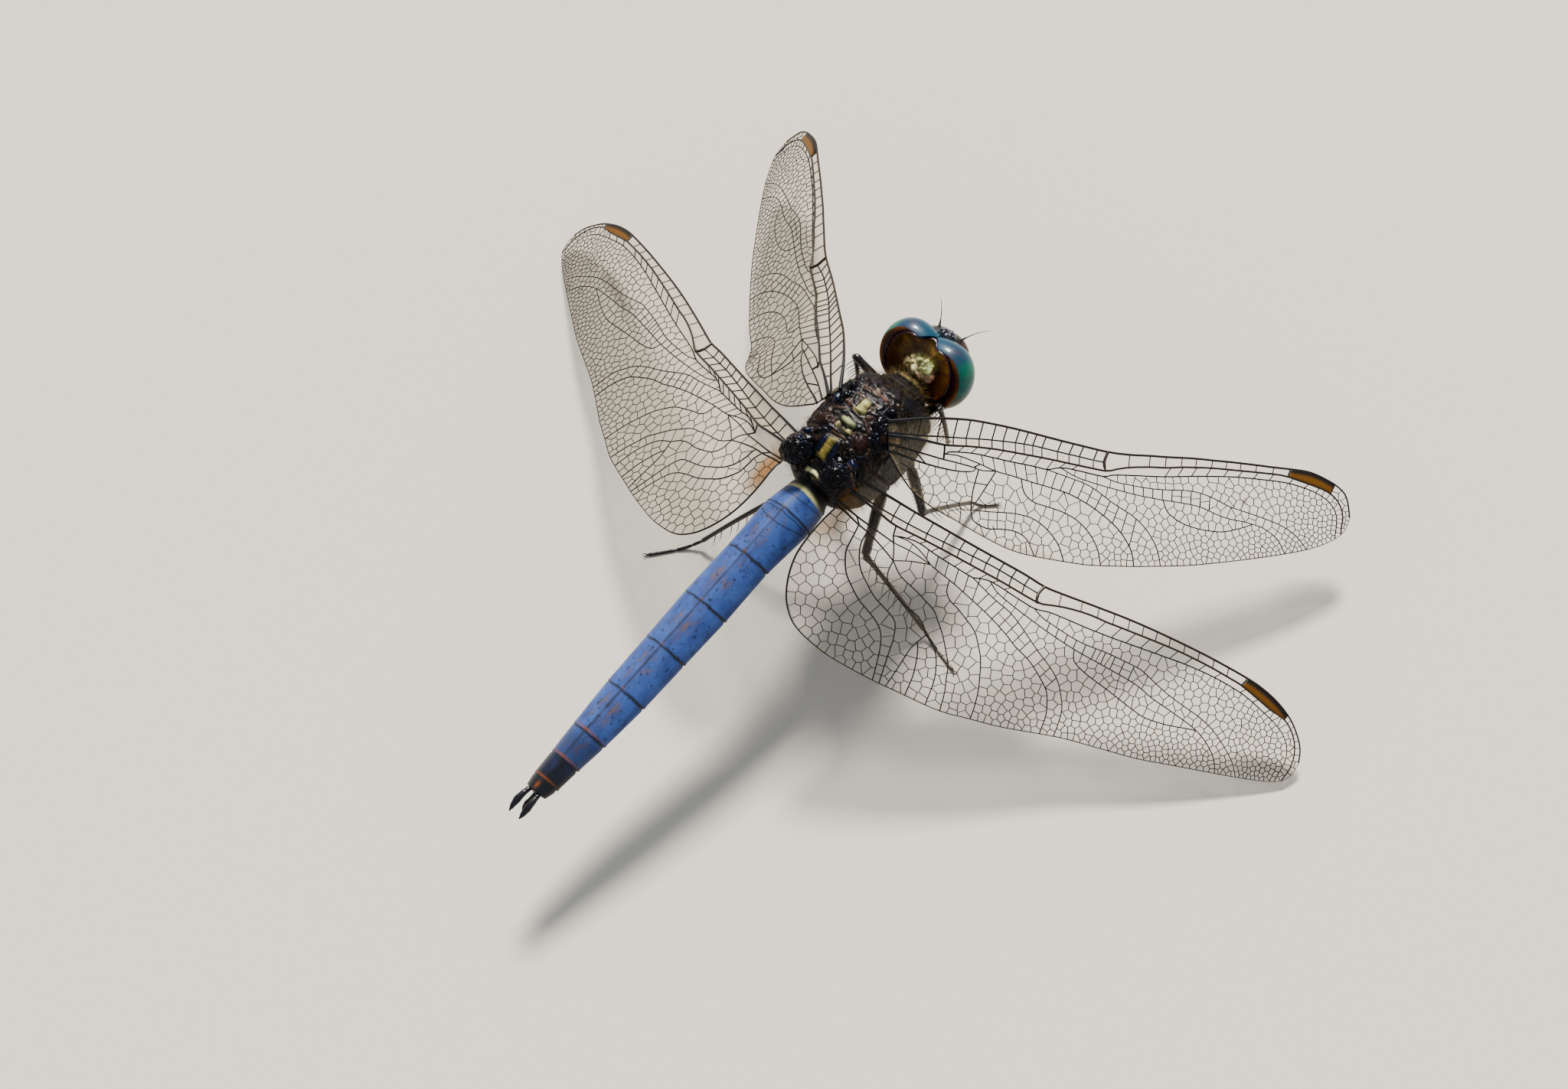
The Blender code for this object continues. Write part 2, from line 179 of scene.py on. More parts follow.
def tubes(name, lines, material, sidesAround=3):
    curve = bpy.data.curves.new(name, "CURVE")
    curve.dimensions = "3D"
    curve.bevel_depth = 1.0
    curve.bevel_resolution = sidesAround
    curve.use_fill_caps = True
    for points, radii in lines:
        spline = curve.splines.new("POLY")
        spline.points.add(len(points) - 1)
        spline.points.foreach_set("co", [value for p in points for value in (*p, 1)])
        spline.points.foreach_set("radius", radii)
    helper = bpy.data.objects.new(name, curve)
    bpy.context.scene.collection.objects.link(helper)
    bpy.context.view_layer.update()
    graph = bpy.context.evaluated_depsgraph_get()
    mesh = bpy.data.meshes.new_from_object(helper.evaluated_get(graph))
    bpy.data.objects.remove(helper)
    bpy.data.curves.remove(curve)
    mesh.name = name
    return addObject(name, mesh, material)


def paint(obj, colourAt, name="tint"):
    layer = obj.data.color_attributes.new(name, "FLOAT_COLOR", "POINT")
    values = []
    for vert in obj.data.vertices:
        values.extend(colourAt(vert))
    layer.data.foreach_set("color", values)


# Each wing's outline and veins, read off as (along, back across) in millimetres from its root,
# as if the wing were flat. The bow (lift, slope, full until, none from) raises it towards its root.
# A raised place looks shifted by its height times the lean (along, across), which layFlat takes out.
wings = {
    "fore": {
        "root": (2.02, 2.29, 0.75), "sweep": (43.6, 43.6), "droop": 17.9, "twist": (41, 26),
        "bow": (0.35, 0.13, 6.0, 11.5), "lean": (0.35, -0.14),
        "ridge": 0.25,
        "leading": (
            (-0.8, 0.1), (-0.25, 0), (1.4, -0.35), (3, -0.55), (4.6, -0.65), (6.2, -0.58), (8, -0.42),
            (10, -0.18), (12, 0.05), (13.9, 0.24), (15.4, 0.24), (16.8, 0.14), (17.9, 0.08), (19, 0),
            (20, -0.06), (21.1, -0.09), (23.1, -0.14), (25.4, -0.15), (27.4, -0.17), (28.3, -0.06),
            (29.2, 0.22), (29.9, 0.52), (30.55, 1.0), (30.85, 1.7), (31, 2.5),
        ),
        "trailing": (
            (-0.5, 2.1), (-0.1, 2.7), (0.5, 3.5), (1.3, 4.3), (2.3, 4.95), (3.2, 5.35), (4.2, 5.75),
            (5, 6.1), (6, 6.5), (7, 6.9), (8, 7.2), (9, 7.37), (11, 7.52), (13, 7.58), (15, 7.45),
            (17, 7.25), (20, 6.85), (22.5, 6.35), (24.5, 5.9), (26.5, 5.4), (28.2, 4.9), (29.5, 4.35),
            (30.4, 3.75), (30.85, 3.15), (31, 2.5),
        ),
        "veins": {
            "subcosta": (
                (-0.8, 0.8), (0, 0.78), (1.4, 0.72), (3, 0.6), (4.6, 0.5), (6, 0.42), (7.6, 0.4), (9, 0.45),
                (10.5, 0.6), (12, 0.75), (13.65, 0.95),
            ),
            "radius": (
                (-0.8, 0.95), (0, 0.95), (1.4, 1.0), (3, 1.15), (4.6, 1.05), (6.2, 1.02), (8, 1.1),
                (10, 1.22), (12, 1.38), (13.75, 1.5), (14.4, 1.33), (15.4, 1.08), (16.8, 0.89), (17.9, 0.8),
                (19, 0.63), (20, 0.53), (21.1, 0.44), (23.1, 0.37), (25.4, 0.31), (26.4, 0.36), (27, 0.48),
                (28.2, 0.72), (29.2, 0.98), (29.8, 1.3), (30.25, 1.8), (30.5, 2.5), (30.45, 3.65),
            ),
            "nodus": ((13.9, 0.24), (13.65, 0.95), (13.75, 1.5), (13.8, 1.8)),
            "arculus": ((2.95, 1.15), (3.1, 1.6), (3.08, 2.02)),
            "sector": (
                (3.08, 1.72), (3.4, 1.5), (4.2, 1.42), (5.2, 1.4), (6.2, 1.48), (7.6, 1.62), (9, 1.72),
                (10, 1.82), (10.6, 1.65), (11.2, 1.58), (12.2, 1.65), (13.8, 1.8), (14.6, 1.62),
                (16.2, 1.48), (17.8, 1.35), (19, 1.2), (20, 1.06), (21, 0.95), (22, 0.85), (23.1, 0.77),
                (25.4, 0.72), (26.7, 0.77), (28, 1.0), (29, 1.35), (29.7, 1.85), (30.1, 2.6), (30.05, 4.0),
            ),
            "media": (
                (3.2, 1.66), (3.9, 1.65), (4.6, 1.8), (5.5, 2.05), (6.5, 2.38), (7.5, 2.53), (9, 2.8),
                (10.5, 3.02), (11.6, 3.25), (13, 3.8), (14, 4.35), (14.9, 5.0), (15.6, 5.75), (16.05, 6.5),
                (16.25, 7.33),
            ),
            "secondBranch": (
                (13.8, 1.8), (14.6, 2.08), (15.3, 2.15), (16.8, 2.24), (18, 2.2), (19.5, 2.08),
                (20.5, 2.15), (21.5, 2.4), (22.5, 2.75), (23.8, 3.0), (25, 3.25), (26.3, 3.6), (27.4, 4.2),
                (28.1, 4.93),
            ),
            "between": (
                (10.9, 1.6), (12, 2.1), (13.5, 2.4), (14.9, 2.62), (16.3, 2.78), (17.8, 2.87), (19, 2.9),
                (20.3, 2.98), (21, 3.15), (21.8, 3.4), (22.6, 3.55), (23.8, 3.65), (25, 3.9), (26, 4.5),
                (26.6, 5.37),
            ),
            "supplement": (
                (17.9, 2.87), (18.3, 3.6), (19.2, 4.15), (20.2, 4.4), (21.2, 4.48), (22.2, 4.43),
                (23.3, 4.1), (24.2, 3.72),
            ),
            "thirdBranch": (
                (10, 1.82), (11, 2.08), (12.5, 2.45), (13.4, 2.85), (14.3, 3.35), (15.1, 3.72), (15.9, 4.1),
                (16.6, 4.6), (17.1, 5.1), (17.6, 5.8), (17.9, 6.5), (18.05, 7.12),
            ),
            "mediaSupplement": (
                (8.2, 2.66), (8.5, 3.5), (9.2, 4.0), (10.2, 4.2), (11.3, 4.45), (12.3, 4.9), (13.1, 5.6),
                (13.7, 6.5), (14, 7.52),
            ),
            "cubitus": (
                (-0.8, 1.45), (0, 1.55), (1.4, 1.75), (3.08, 2.02), (4, 2.15), (5, 2.32), (5.35, 2.47)
            ),
            "anal": ((-0.8, 1.9), (0, 2.0), (1.4, 2.35), (3, 2.6), (4.4, 2.65), (5.35, 2.47)),
            "analCross": ((1.2, 1.72), (1.9, 2.43)),
            "triangleTop": ((5.35, 2.47), (6.5, 2.38)),
            "triangleSide": ((5.35, 2.47), (5.15, 3.8), (5.1, 4.95)),
            "triangleFoot": ((6.5, 2.38), (5.8, 3.75), (5.1, 4.95)),
            "triangleCross": ((5.25, 3.25), (6.05, 3.3)),
            "posteriorMedia": (
                (5.1, 4.95), (6.2, 4.95), (7, 4.9), (8, 4.88), (9, 5.0), (9.8, 5.35), (10.5, 5.9),
                (11.1, 6.6), (11.5, 7.54),
            ),
            "posteriorCubitus": (
                (5.1, 4.95), (5.3, 5.6), (6.2, 6.0), (7.1, 5.95), (8.1, 6.0), (8.9, 6.4), (9.5, 7.42)
            ),
        },
        "antenodals": (1.3, 2.6, 3.65, 4.5, 5.35, 6.2, 6.95, 7.8, 8.4, 9.0, 9.65, 10.75, 11.55, 12.25, 13.2),
        "slant": -0.2,
        "postnodals": (15.4, 16.8, 17.9, 19.0, 20.0, 21.1, 22.1, 23.1, 24.2, 25.4),
        "sectorCrosses": (18.2, 19.05, 20.0, 21.0, 22.2, 23.2, 24.3, 25.4, 26.8, 27.9, 28.7),
        "stigma": (26.6, 29.8), "stigmaLow": (26.4, 29.5), "amber": (-1.4, 1.2, 0.6, 0.6),
    },
    "hind": {
        "root": (-2.58, 2.92, 0.28), "sweep": (21.0, 20.4), "droop": 21.5, "twist": (26, 26),
        "bow": (-1.35, 0.11, 13.5, 27.5), "lean": (0.18, -0.05),
        "ridge": 0.38,
        "leading": (
            (-0.8, 0.0), (0, 0.03), (2, 0.1), (4, 0.21), (6, 0.28), (8, 0.35), (10, 0.4), (12, 0.45),
            (13.5, 0.54), (14.8, 0.42), (17, 0.15), (19, -0.09), (21, -0.24), (23.2, -0.33), (25.2, -0.36),
            (27.7, -0.3), (29, -0.15), (30.2, 0.17), (31.3, 0.67), (32.1, 1.28), (32.8, 2.06),
            (33.15, 2.94),
        ),
        "trailing": (
            (-0.6, 2.4), (-0.9, 3.3), (-1.2, 4.6), (-1.35, 6.0), (-1.15, 7.4), (-0.6, 8.7), (0.2, 9.6),
            (1, 10.05), (2.05, 10.35), (3.5, 10.6), (6, 10.68), (8, 10.62), (11, 10.47), (13, 10.05),
            (15, 9.6), (17, 9), (19, 8.4), (21.2, 7.94), (23.7, 7.4), (25.8, 6.78), (27.8, 6.19),
            (29.9, 5.56), (31.7, 4.94), (32.7, 4.4), (33.1, 3.7), (33.15, 2.94),
        ),
        "veins": {
            "subcosta": (
                (-0.8, 0.75), (0, 0.85), (2, 1.0), (4, 1.05), (6, 1.03), (8, 0.97), (10, 0.93), (11.6, 1.0),
                (13.25, 1.12),
            ),
            "radius": (
                (-0.8, 0.9), (0.4, 1.02), (1.95, 1.3), (3.2, 1.53), (5, 1.5), (7, 1.5), (9, 1.53),
                (11, 1.56), (13.4, 1.65), (14.3, 1.42), (15, 1.18), (16, 0.94), (17, 0.78), (18, 0.72),
                (19, 0.6), (21, 0.39), (23, 0.22), (25, 0.17), (26.7, 0.22), (27.55, 0.28), (28.9, 0.56),
                (29.9, 0.78), (31, 0.92), (31.7, 1.3), (32.25, 1.85), (32.65, 2.6), (32.8, 3.5),
                (32.65, 4.42),
            ),
            "nodus": ((13.5, 0.54), (13.3, 1.12), (13.4, 1.65), (13.6, 2.05)),
            "arculus": ((3.3, 1.53), (3.5, 2.1), (3.72, 2.52)),
            "sector": (
                (3.55, 2.12), (4.26, 1.9), (5.2, 1.79), (6.4, 1.95), (7.7, 2.05), (9.2, 2.14), (9.6, 2.0),
                (10.2, 1.84), (11.1, 1.86), (12.2, 1.97), (13.6, 2.05), (14.6, 1.82), (16, 1.68),
                (17, 1.61), (18, 1.5), (19, 1.39), (21, 1.11), (22.6, 0.89), (23.9, 0.72), (25.9, 0.61),
                (27.9, 0.72), (29.4, 1.06), (30.6, 1.41), (31.4, 1.8), (32, 2.4), (32.3, 3.2),
                (32.25, 4.62),
            ),
            "media": (
                (3.7, 2.08), (4.5, 2.0), (5.3, 2.16), (5.95, 2.42), (6.4, 2.66), (7, 2.8), (8.3, 3.05),
                (9.5, 3.35), (10.8, 3.68), (11.8, 4.0), (12.8, 4.37), (13.6, 4.74), (14.6, 5.05),
                (15.3, 5.4), (16, 5.83), (16.6, 6.28), (17, 6.94), (17.3, 7.7), (17.45, 8.85),
            ),
            "secondBranch": (
                (13.6, 2.05), (14.2, 2.3), (14.9, 2.42), (17, 2.59), (19, 2.41), (21, 2.33), (21.6, 2.4),
                (22.6, 2.67), (23.7, 2.94), (25, 3.13), (26.1, 3.28), (27.2, 3.6), (28.3, 4.17),
                (29.3, 4.85), (29.9, 5.56),
            ),
            "between": (
                (10.3, 1.84), (11, 2.26), (12.2, 2.53), (13.4, 2.74), (15, 2.98), (17, 3.17), (19, 3.22),
                (21, 3.28), (21.9, 3.39), (22.8, 3.6), (24.4, 3.8), (26.1, 4.06), (27.2, 4.5), (28.1, 5.17),
                (28.6, 5.95),
            ),
            "supplement": (
                (17, 3.17), (17.3, 3.8), (18.3, 4.17), (20, 4.44), (21.9, 4.78), (23, 4.9), (24.4, 4.67),
                (25.6, 4.3), (26.3, 4.1),
            ),
            "thirdBranch": (
                (9.2, 2.14), (10.2, 2.47), (11.1, 2.74), (12.2, 2.98), (13, 3.3), (14.05, 3.84),
                (15.1, 4.37), (16.2, 4.9), (17, 5.44), (17.6, 6.17), (18, 6.8), (18.2, 7.6), (18.33, 8.6),
            ),
            "mediaSupplement": (
                (7.9, 2.97), (8.1, 3.7), (8.6, 4.1), (9.1, 4.25), (9.9, 4.6), (10.8, 5.05), (11.4, 5.7),
                (12, 6.5), (12.7, 8.1), (13, 9.3), (13.1, 10.03),
            ),
            "cubitus": ((-0.8, 1.75), (0.05, 1.95), (1.1, 2.16), (2.9, 2.4), (3.72, 2.52)),
            "anal": ((-0.8, 2.05), (0.05, 2.2), (1.1, 2.5), (2.15, 2.74), (3.4, 3.2), (4.2, 3.53)),
            "analCross": ((0.9, 2.12), (1.3, 2.56)),
            "triangleTop": ((3.72, 2.52), (5, 2.5), (6.4, 2.66)),
            "triangleSide": ((3.72, 2.52), (4.2, 3.53)),
            "triangleFoot": ((4.2, 3.53), (5.2, 3.05), (6.4, 2.66)),
            "posteriorMedia": (
                (4.2, 3.53), (5.1, 4.16), (6.4, 4.53), (7.16, 4.8), (7.95, 5.1), (8.5, 5.6), (9.1, 6.16),
                (9.7, 6.9), (10.3, 7.7), (10.6, 8.5), (10.9, 9.3), (11.15, 10.44),
            ),
            "posteriorCubitus": (
                (4.2, 3.53), (4.25, 4.3), (4.5, 4.85), (4.9, 5.15), (5.7, 5.5), (6.1, 5.65), (7.1, 5.85),
                (7.8, 6.25), (8.2, 6.65), (8.9, 7.05), (9.4, 7.6), (9.75, 8.3), (10, 9.1), (10.15, 10.5),
            ),
            "loopOuter": (
                (1.25, 2.55), (1.25, 3.9), (1.35, 4.5), (1.9, 5.5), (2.6, 6.1), (3.4, 6.65), (4.1, 6.95),
                (5, 7.35), (5.6, 7.85), (5.95, 8.55), (6.2, 9.4), (6.5, 10.66),
            ),
            "loopMiddle": (
                (1.9, 2.68), (1.9, 3.5), (2.2, 4.3), (2.7, 5), (3.5, 5.6), (4.2, 6.05), (5, 6.35),
                (5.9, 6.7), (6.25, 7.15), (6.5, 7.95), (6.65, 8.9), (6.95, 10.65),
            ),
            "loopToe": ((8.2, 6.65), (7.9, 7.3), (7.7, 7.9), (7.6, 8.9), (7.5, 9.9), (7.4, 10.63)),
            "loopHeel": ((7.9, 7.3), (8.2, 7.8), (8.5, 8.7), (8.65, 9.4), (8.75, 10.58)),
        },
        "antenodals": (2.1, 3.2, 4.25, 5.6, 6.8, 7.9, 8.85, 9.8, 10.75, 11.65, 12.6),
        "slant": -0.05,
        "postnodals": (14.9, 16.3, 17.4, 18.45, 19.45, 20.4, 21.3, 22.2, 23.2, 24.2, 25.25, 26.3),
        "sectorCrosses": (18.1, 19.15, 20.1, 21.05, 22.0, 22.95, 23.95, 24.9, 26.0, 27.9, 28.9, 29.9),
        "stigma": (27.7, 31.1), "stigmaLow": (27.5, 31.0), "amber": (-0.5, 2.3, 1.5, 2.5),
    },
}


def bowAt(wing, u, v):
    lift, slope, full, none = wing["bow"]
    return (lift + slope * v) * smooth((none - u) / (none - full))


def layFlat(wing, points):
    # The places without the bow's shift, to a hundredth of a millimetre.
    along, across = wing["lean"]
    flat = []
    for u, v in points:
        height = bowAt(wing, u, v)
        flat.append((round(u - along * height, 2), round(v - across * height, 2)))
    return flat


for wing in wings.values():
    for edge in ("leading", "trailing"):
        wing[edge] = layFlat(wing, wing[edge])
    wing["veins"] = {name: layFlat(wing, points) for name, points in wing["veins"].items()}

# Widths of veins and sizes of cells, in millimetres. Where no cross veins are given, cells are laid out by
# a rule: as many as their size calls for, then evened out in a few rounds.
veinLook = {
    "seed": 11, "innerCell": 0.85, "middleCell": 0.62, "outerCell": 0.44, "cellArea": 0.86, "closest": 0.55,
    "rounds": 6,
    "samples": 300, "tries": 4000, "neighbours": 20, "step": 0.3, "reach": 0.45, "widths": {
        "leading": 0.15, "trailing": 0.065, "radius": 0.135, "subcosta": 0.105, "sector": 0.095,
        "nodus": 0.2, "arculus": 0.11,
        "media": 0.085, "triangleTop": 0.085, "triangleSide": 0.085, "triangleFoot": 0.085, "cubitus": 0.09,
        "anal": 0.09,
        "antenodal": 0.088, "cross": 0.07, "cell": 0.056, "other": 0.078, "base": 0.05,
    },
}


def heightAt(wing, u, v, lines):
    nodus = wing["veins"]["nodus"][0][0]
    scale = table(u, ((-1, 0.15), (1.2, 0.7), (4, 1), (nodus, 1), (wing["stigma"][0], 0.35), (33, 0)))
    edge, second, third, fourth = (
        atPlace(lines[name], u) for name in ("leading", "subcosta", "radius", "sector")
    )
    ridge = wing["ridge"]
    secondHeight = mix(
        -0.15, ridge * (second - edge) / max(third - edge, 0.1), smooth((u - nodus + 1.3) / 1.2)
    )
    stops = [(edge, 0)]
    if u < nodus:
        stops.append((second, secondHeight))
    stops += [(third, ridge), (fourth, -0.25), (fourth + 0.9, 0.1), (fourth + 2.3, -0.06), (fourth + 4, 0.03)]
    return bowAt(wing, u, v) + scale * table(v, stops)


def atPlace(line, u):
    if u <= line[0][0]:
        return line[0][1]
    for a, b in zip(line, line[1:]):
        if a[0] <= u <= b[0]:
            return mix(a[1], b[1], (u - a[0]) / max(b[0] - a[0], 1e-6))
    return max(line, key=lambda p: p[0])[1]


def nearestOn(lines, spot):
    best = (farAway, spot)
    for line in lines:
        for a, b in zip(line, line[1:]):
            along = b - a
            share = clamp((spot - a).dot(along) / max(along.length_squared, 1e-12))
            foot = a + along * share
            best = min(best, ((foot - spot).length, foot), key=lambda item: item[0])
    return best


def subdivide(lines):
    # Each line runs on a hair past its ends, so that it is sure to meet what it ends on. The loose ends are
    # cut off after.
    verts, edges = [], []
    for line, _ in lines:
        start = len(verts)
        first, last = (line[0] - line[1]).normalized() * 0.003, (line[-1] - line[-2]).normalized() * 0.003
        verts += [line[0] + first, *line[1:-1], line[-1] + last]
        edges += [(start + i, start + i + 1) for i in range(len(line) - 1)]
    verts, edges, faces, _, sources, _ = delaunay_2d_cdt(verts, edges, [], 1, 1e-5)
    kept = {(min(edge), max(edge)) for edge, found in zip(edges, sources) if found}
    while True:
        ends = {}
        for edge in kept:
            for end in edge:
                ends[end] = ends.get(end, 0) + 1
        loose = {edge for edge in kept if min(ends[edge[0]], ends[edge[1]]) == 1}
        if not loose:
            break
        kept -= loose
    bm = bmesh.new()
    made = [bm.verts.new((*v, 0)) for v in verts]
    for face in faces:
        bm.faces.new([made[i] for i in face])
    bm.verts.index_update()
    free = [
        e
        for e in bm.edges if len(e.link_faces) == 2 and tuple(sorted(v.index for v in e.verts)) not in kept
    ]
    bmesh.ops.dissolve_edges(bm, edges=free, use_verts=False)
    return bm


def clip(polygon, point, normal, tag):
    kept = []
    for (a, mark), (b, _) in zip(polygon, polygon[1:] + polygon[:1]):
        first, second = (a - point).dot(normal), (b - point).dot(normal)
        if first <= 0:
            kept.append((a, mark))
            if second > 0:
                kept.append((a.lerp(b, first / (first - second)), tag))
        elif second <= 0:
            kept.append((a.lerp(b, first / (first - second)), mark))
    return kept


def centroid(polygon):
    area, middle = 0, Vector((0, 0))
    for (a, _), (b, _) in zip(polygon, polygon[1:] + polygon[:1]):
        part = a.cross(b) / 2
        area += part
        middle += (a + b) * part / 3
    return abs(area), middle / area if abs(area) > 1e-9 else polygon[0][0]


def inside(polygon, spot):
    hit = False
    for (a, _), (b, _) in zip(polygon, polygon[1:] + polygon[:1]):
        if (a.y > spot.y) != (b.y > spot.y) and spot.x < a.x + (spot.y - a.y) / (b.y - a.y) * (b.x - a.x):
            hit = not hit
    return hit


def fillCells(outline, sizeAt, rng):
    polygon = [(p, -1) for p in outline]
    area, middle = centroid(polygon)
    size = sizeAt(middle)
    wanted = area / (size * size * veinLook["cellArea"])
    if wanted < 1.45:
        return []
    low = Vector((min(p.x for p in outline), min(p.y for p in outline)))
    high = Vector((max(p.x for p in outline), max(p.y for p in outline)))
    smallest = min(sizeAt(p) for p in outline)
    # As many seeds as the field's own density calls for.
    samples = [
        Vector((rng.uniform(low.x, high.x), rng.uniform(low.y, high.y))) for _ in range(veinLook["samples"])
    ]
    samples = [p for p in samples if inside(polygon, p)] or [middle]
    density = sum(1 / sizeAt(p) ** 2 for p in samples) / len(samples)
    wanted = max(round(area * density / veinLook["cellArea"]), 2)
    seeds = []
    for _ in range(veinLook["tries"]):
        spot = Vector((rng.uniform(low.x, high.x), rng.uniform(low.y, high.y)))
        if inside(polygon, spot) and rng.random() < (smallest / sizeAt(spot)) ** 2:
            if all((spot - other).length > sizeAt(spot) * veinLook["closest"] for other in seeds):
                seeds.append(spot)
        if len(seeds) == wanted:
            break
    if len(seeds) < 2:
        return []
    for turn in range(veinLook["rounds"]):
        cells = []
        for i, seed in enumerate(seeds):
            cell = polygon
            near = sorted(
                (j for j in range(len(seeds)) if j != i), key=lambda j: (seeds[j] - seed).length_squared
            )
            for j in near[: veinLook["neighbours"]]:
                normal = seeds[j] - seed
                cell = clip(cell, (seed + seeds[j]) / 2, normal, j)
                if not cell:
                    break
            cells.append(cell)
        if turn < veinLook["rounds"] - 1:
            for i, cell in enumerate(cells):
                if len(cell) > 2:
                    spot = centroid(cell)[1]
                    if inside(polygon, spot):
                        seeds[i] = spot
    walls = []
    for i, cell in enumerate(cells):
        for k, (a, mark) in enumerate(cell):
            # A clipped corner's mark names the neighbour that the edge after it is shared with.
            b = cell[(k + 1) % len(cell)][0]
            if mark > i and (a - b).length > 0.0003:
                walls.append((a, b))
    return walls


def layOut(wing):
    step = veinLook["step"]
    veins = {"leading": smoothLine(wing["leading"], step), "trailing": smoothLine(wing["trailing"], step)}
    placed = [(veins["leading"], "leading"), (veins["trailing"], "trailing")]
    placed.append((smoothLine((veins["leading"][0], veins["trailing"][0]), step), "base"))
    for name, points in wing["veins"].items():
        line = smoothLine(points, step)
        for end in (0, -1):
            distance, foot = nearestOn([other for other, _ in placed], line[end])
            if distance < veinLook["reach"]:
                line[end] = foot
        veins[name] = line
        placed.append((line, name))

    def crosses(first, second, spots, slant, width):
        for u in spots:
            a, b = (Vector((x, atPlace(veins[name], x))) for name, x in ((first, u), (second, u + slant)))
            placed.append(([a, b], width))

    nodus = wing["veins"]["nodus"][1][0]
    start = wing["veins"]["arculus"][0][0]
    crosses("leading", "subcosta", wing["antenodals"], wing["slant"], "antenodal")
    crosses(
        "subcosta", "radius", [u + wing["slant"] for u in wing["antenodals"]], wing["slant"] / 2,
        "antenodal",
    )
    crosses("leading", "radius", wing["postnodals"], 0.1 if wing["slant"] > -0.1 else -0.1, "cross")
    crosses("radius", "sector", wing["sectorCrosses"], -0.2, "cross")
    # Rows of cross veins between two long veins: where the row begins, its pitch, how many, and their slant.
    sectorPitch = 0.87
    for first, second, begin, pitch, count, slant in (
        ("radius", "sector", start + 1.3, sectorPitch, int((nodus - start - 1.6) / sectorPitch), -0.25),
        ("secondBranch", "between", nodus + 1.5, 0.66, 10, 0.05),
        ("thirdBranch", "media", start + 7.2, 0.62, 11, -0.35),
        ("sector", "media", start + 2.6, 0.75, 6, 0.1),
    ):
        crosses(first, second, [begin + pitch * i for i in range(count)], slant, "cross")
    for top, low in zip(wing["stigma"], wing["stigmaLow"]):
        ends = [Vector((u, atPlace(veins[name], u))) for u, name in ((top, "leading"), (low, "radius"))]
        placed.append((ends, "radius"))

    def sizeAt(spot):
        size = table(
            spot.x, ((6, veinLook["innerCell"]), (19, veinLook["middleCell"]), (31, veinLook["outerCell"]))
        )
        margin = atPlace(veins["trailing"][8:], spot.x) - spot.y
        return size * (0.68 + 0.32 * clamp(margin / 3))

    rng = random.Random(veinLook["seed"])
    coarse = subdivide(placed)
    for face in coarse.faces:
        middle = face.calc_center_median()
        bound = "sector" if start + 0.4 < middle.x < wing["stigma"][1] else "cubitus"
        if middle.x < wing["stigma"][1] and middle.y < atPlace(veins[bound], middle.x):
            continue
        for a, b in fillCells([v.co.xy for v in face.verts], sizeAt, rng):
            placed.append(([a, b], "cell"))
    coarse.free()
    return veins, placed, subdivide(placed)


def wingFrame(wing, side):
    index = 0 if side == "left" else 1
    sweep, droop, twist = (
        math.radians(value) for value in (wing["sweep"][index], wing["droop"], wing["twist"][index])
    )
    axis = Vector((math.sin(sweep) * math.cos(droop), math.cos(sweep) * math.cos(droop), -math.sin(droop)))
    level = Vector((-math.cos(sweep), math.sin(sweep), 0))
    above = axis.cross(level)
    if above.z < 0:
        above.negate()
    chord = level * math.cos(twist) - above * math.sin(twist)
    return axis, chord, level * math.sin(twist) + above * math.cos(twist)


def wingPoint(wing, side, u, v, height):
    axis, chord, above = wingFrame(wing, side)
    spot = Vector(wing["root"]) + axis * u + chord * v + above * height
    return place(spot.x, spot.y * sides[side], spot.z)


# Wing veins of dark brown cuticle, blacker and bluish at the root: a satin shine along each tube.
veinMaterial = paintedMaterial("Vein cuticle", Roughness=0.35)[0]

# Wing membrane, a clear film: nearly all of the light goes through, and its own gloss and faint warmth show.
membraneMaterial, membraneTree, membraneShader, membraneTint = paintedMaterial(
    "Wing membrane", Roughness=0.16, IOR=1.5, Specular_IOR_Level=0.5
)
membraneGrazing = addNode(membraneTree, "ShaderNodeFresnel", {"IOR": 1.5})
membraneGain = addNode(
    membraneTree, "ShaderNodeMath", {"operation": "MULTIPLY_ADD", 1: 0.3},
    {0: membraneGrazing.outputs[0], 2: membraneTint.outputs["Alpha"]}
)
membraneTree.links.new(membraneGain.outputs[0], membraneShader.inputs["Alpha"])

# Stigma, a thick amber cell near the wing tip: satin, with a black front edge.
stigmaMaterial = paintedMaterial("Stigma cuticle", Roughness=0.4)[0]

wingLook = {
    "vein": linear("120C08"), "veinRoot": linear("0C0A0C"), "costa": linear("2A1E0E"),
    "costaRoot": linear("14131A"),
    "membrane": linear("A8987A"), "clear": 0.035, "amber": linear("9A6406"), "amberCover": 0.36,
    "film": 0.014, "dome": 0.035, "stigma": linear("70480C"), "stigmaEdge": linear("0C0805"),
    "stigmaThickness": 0.16,
}


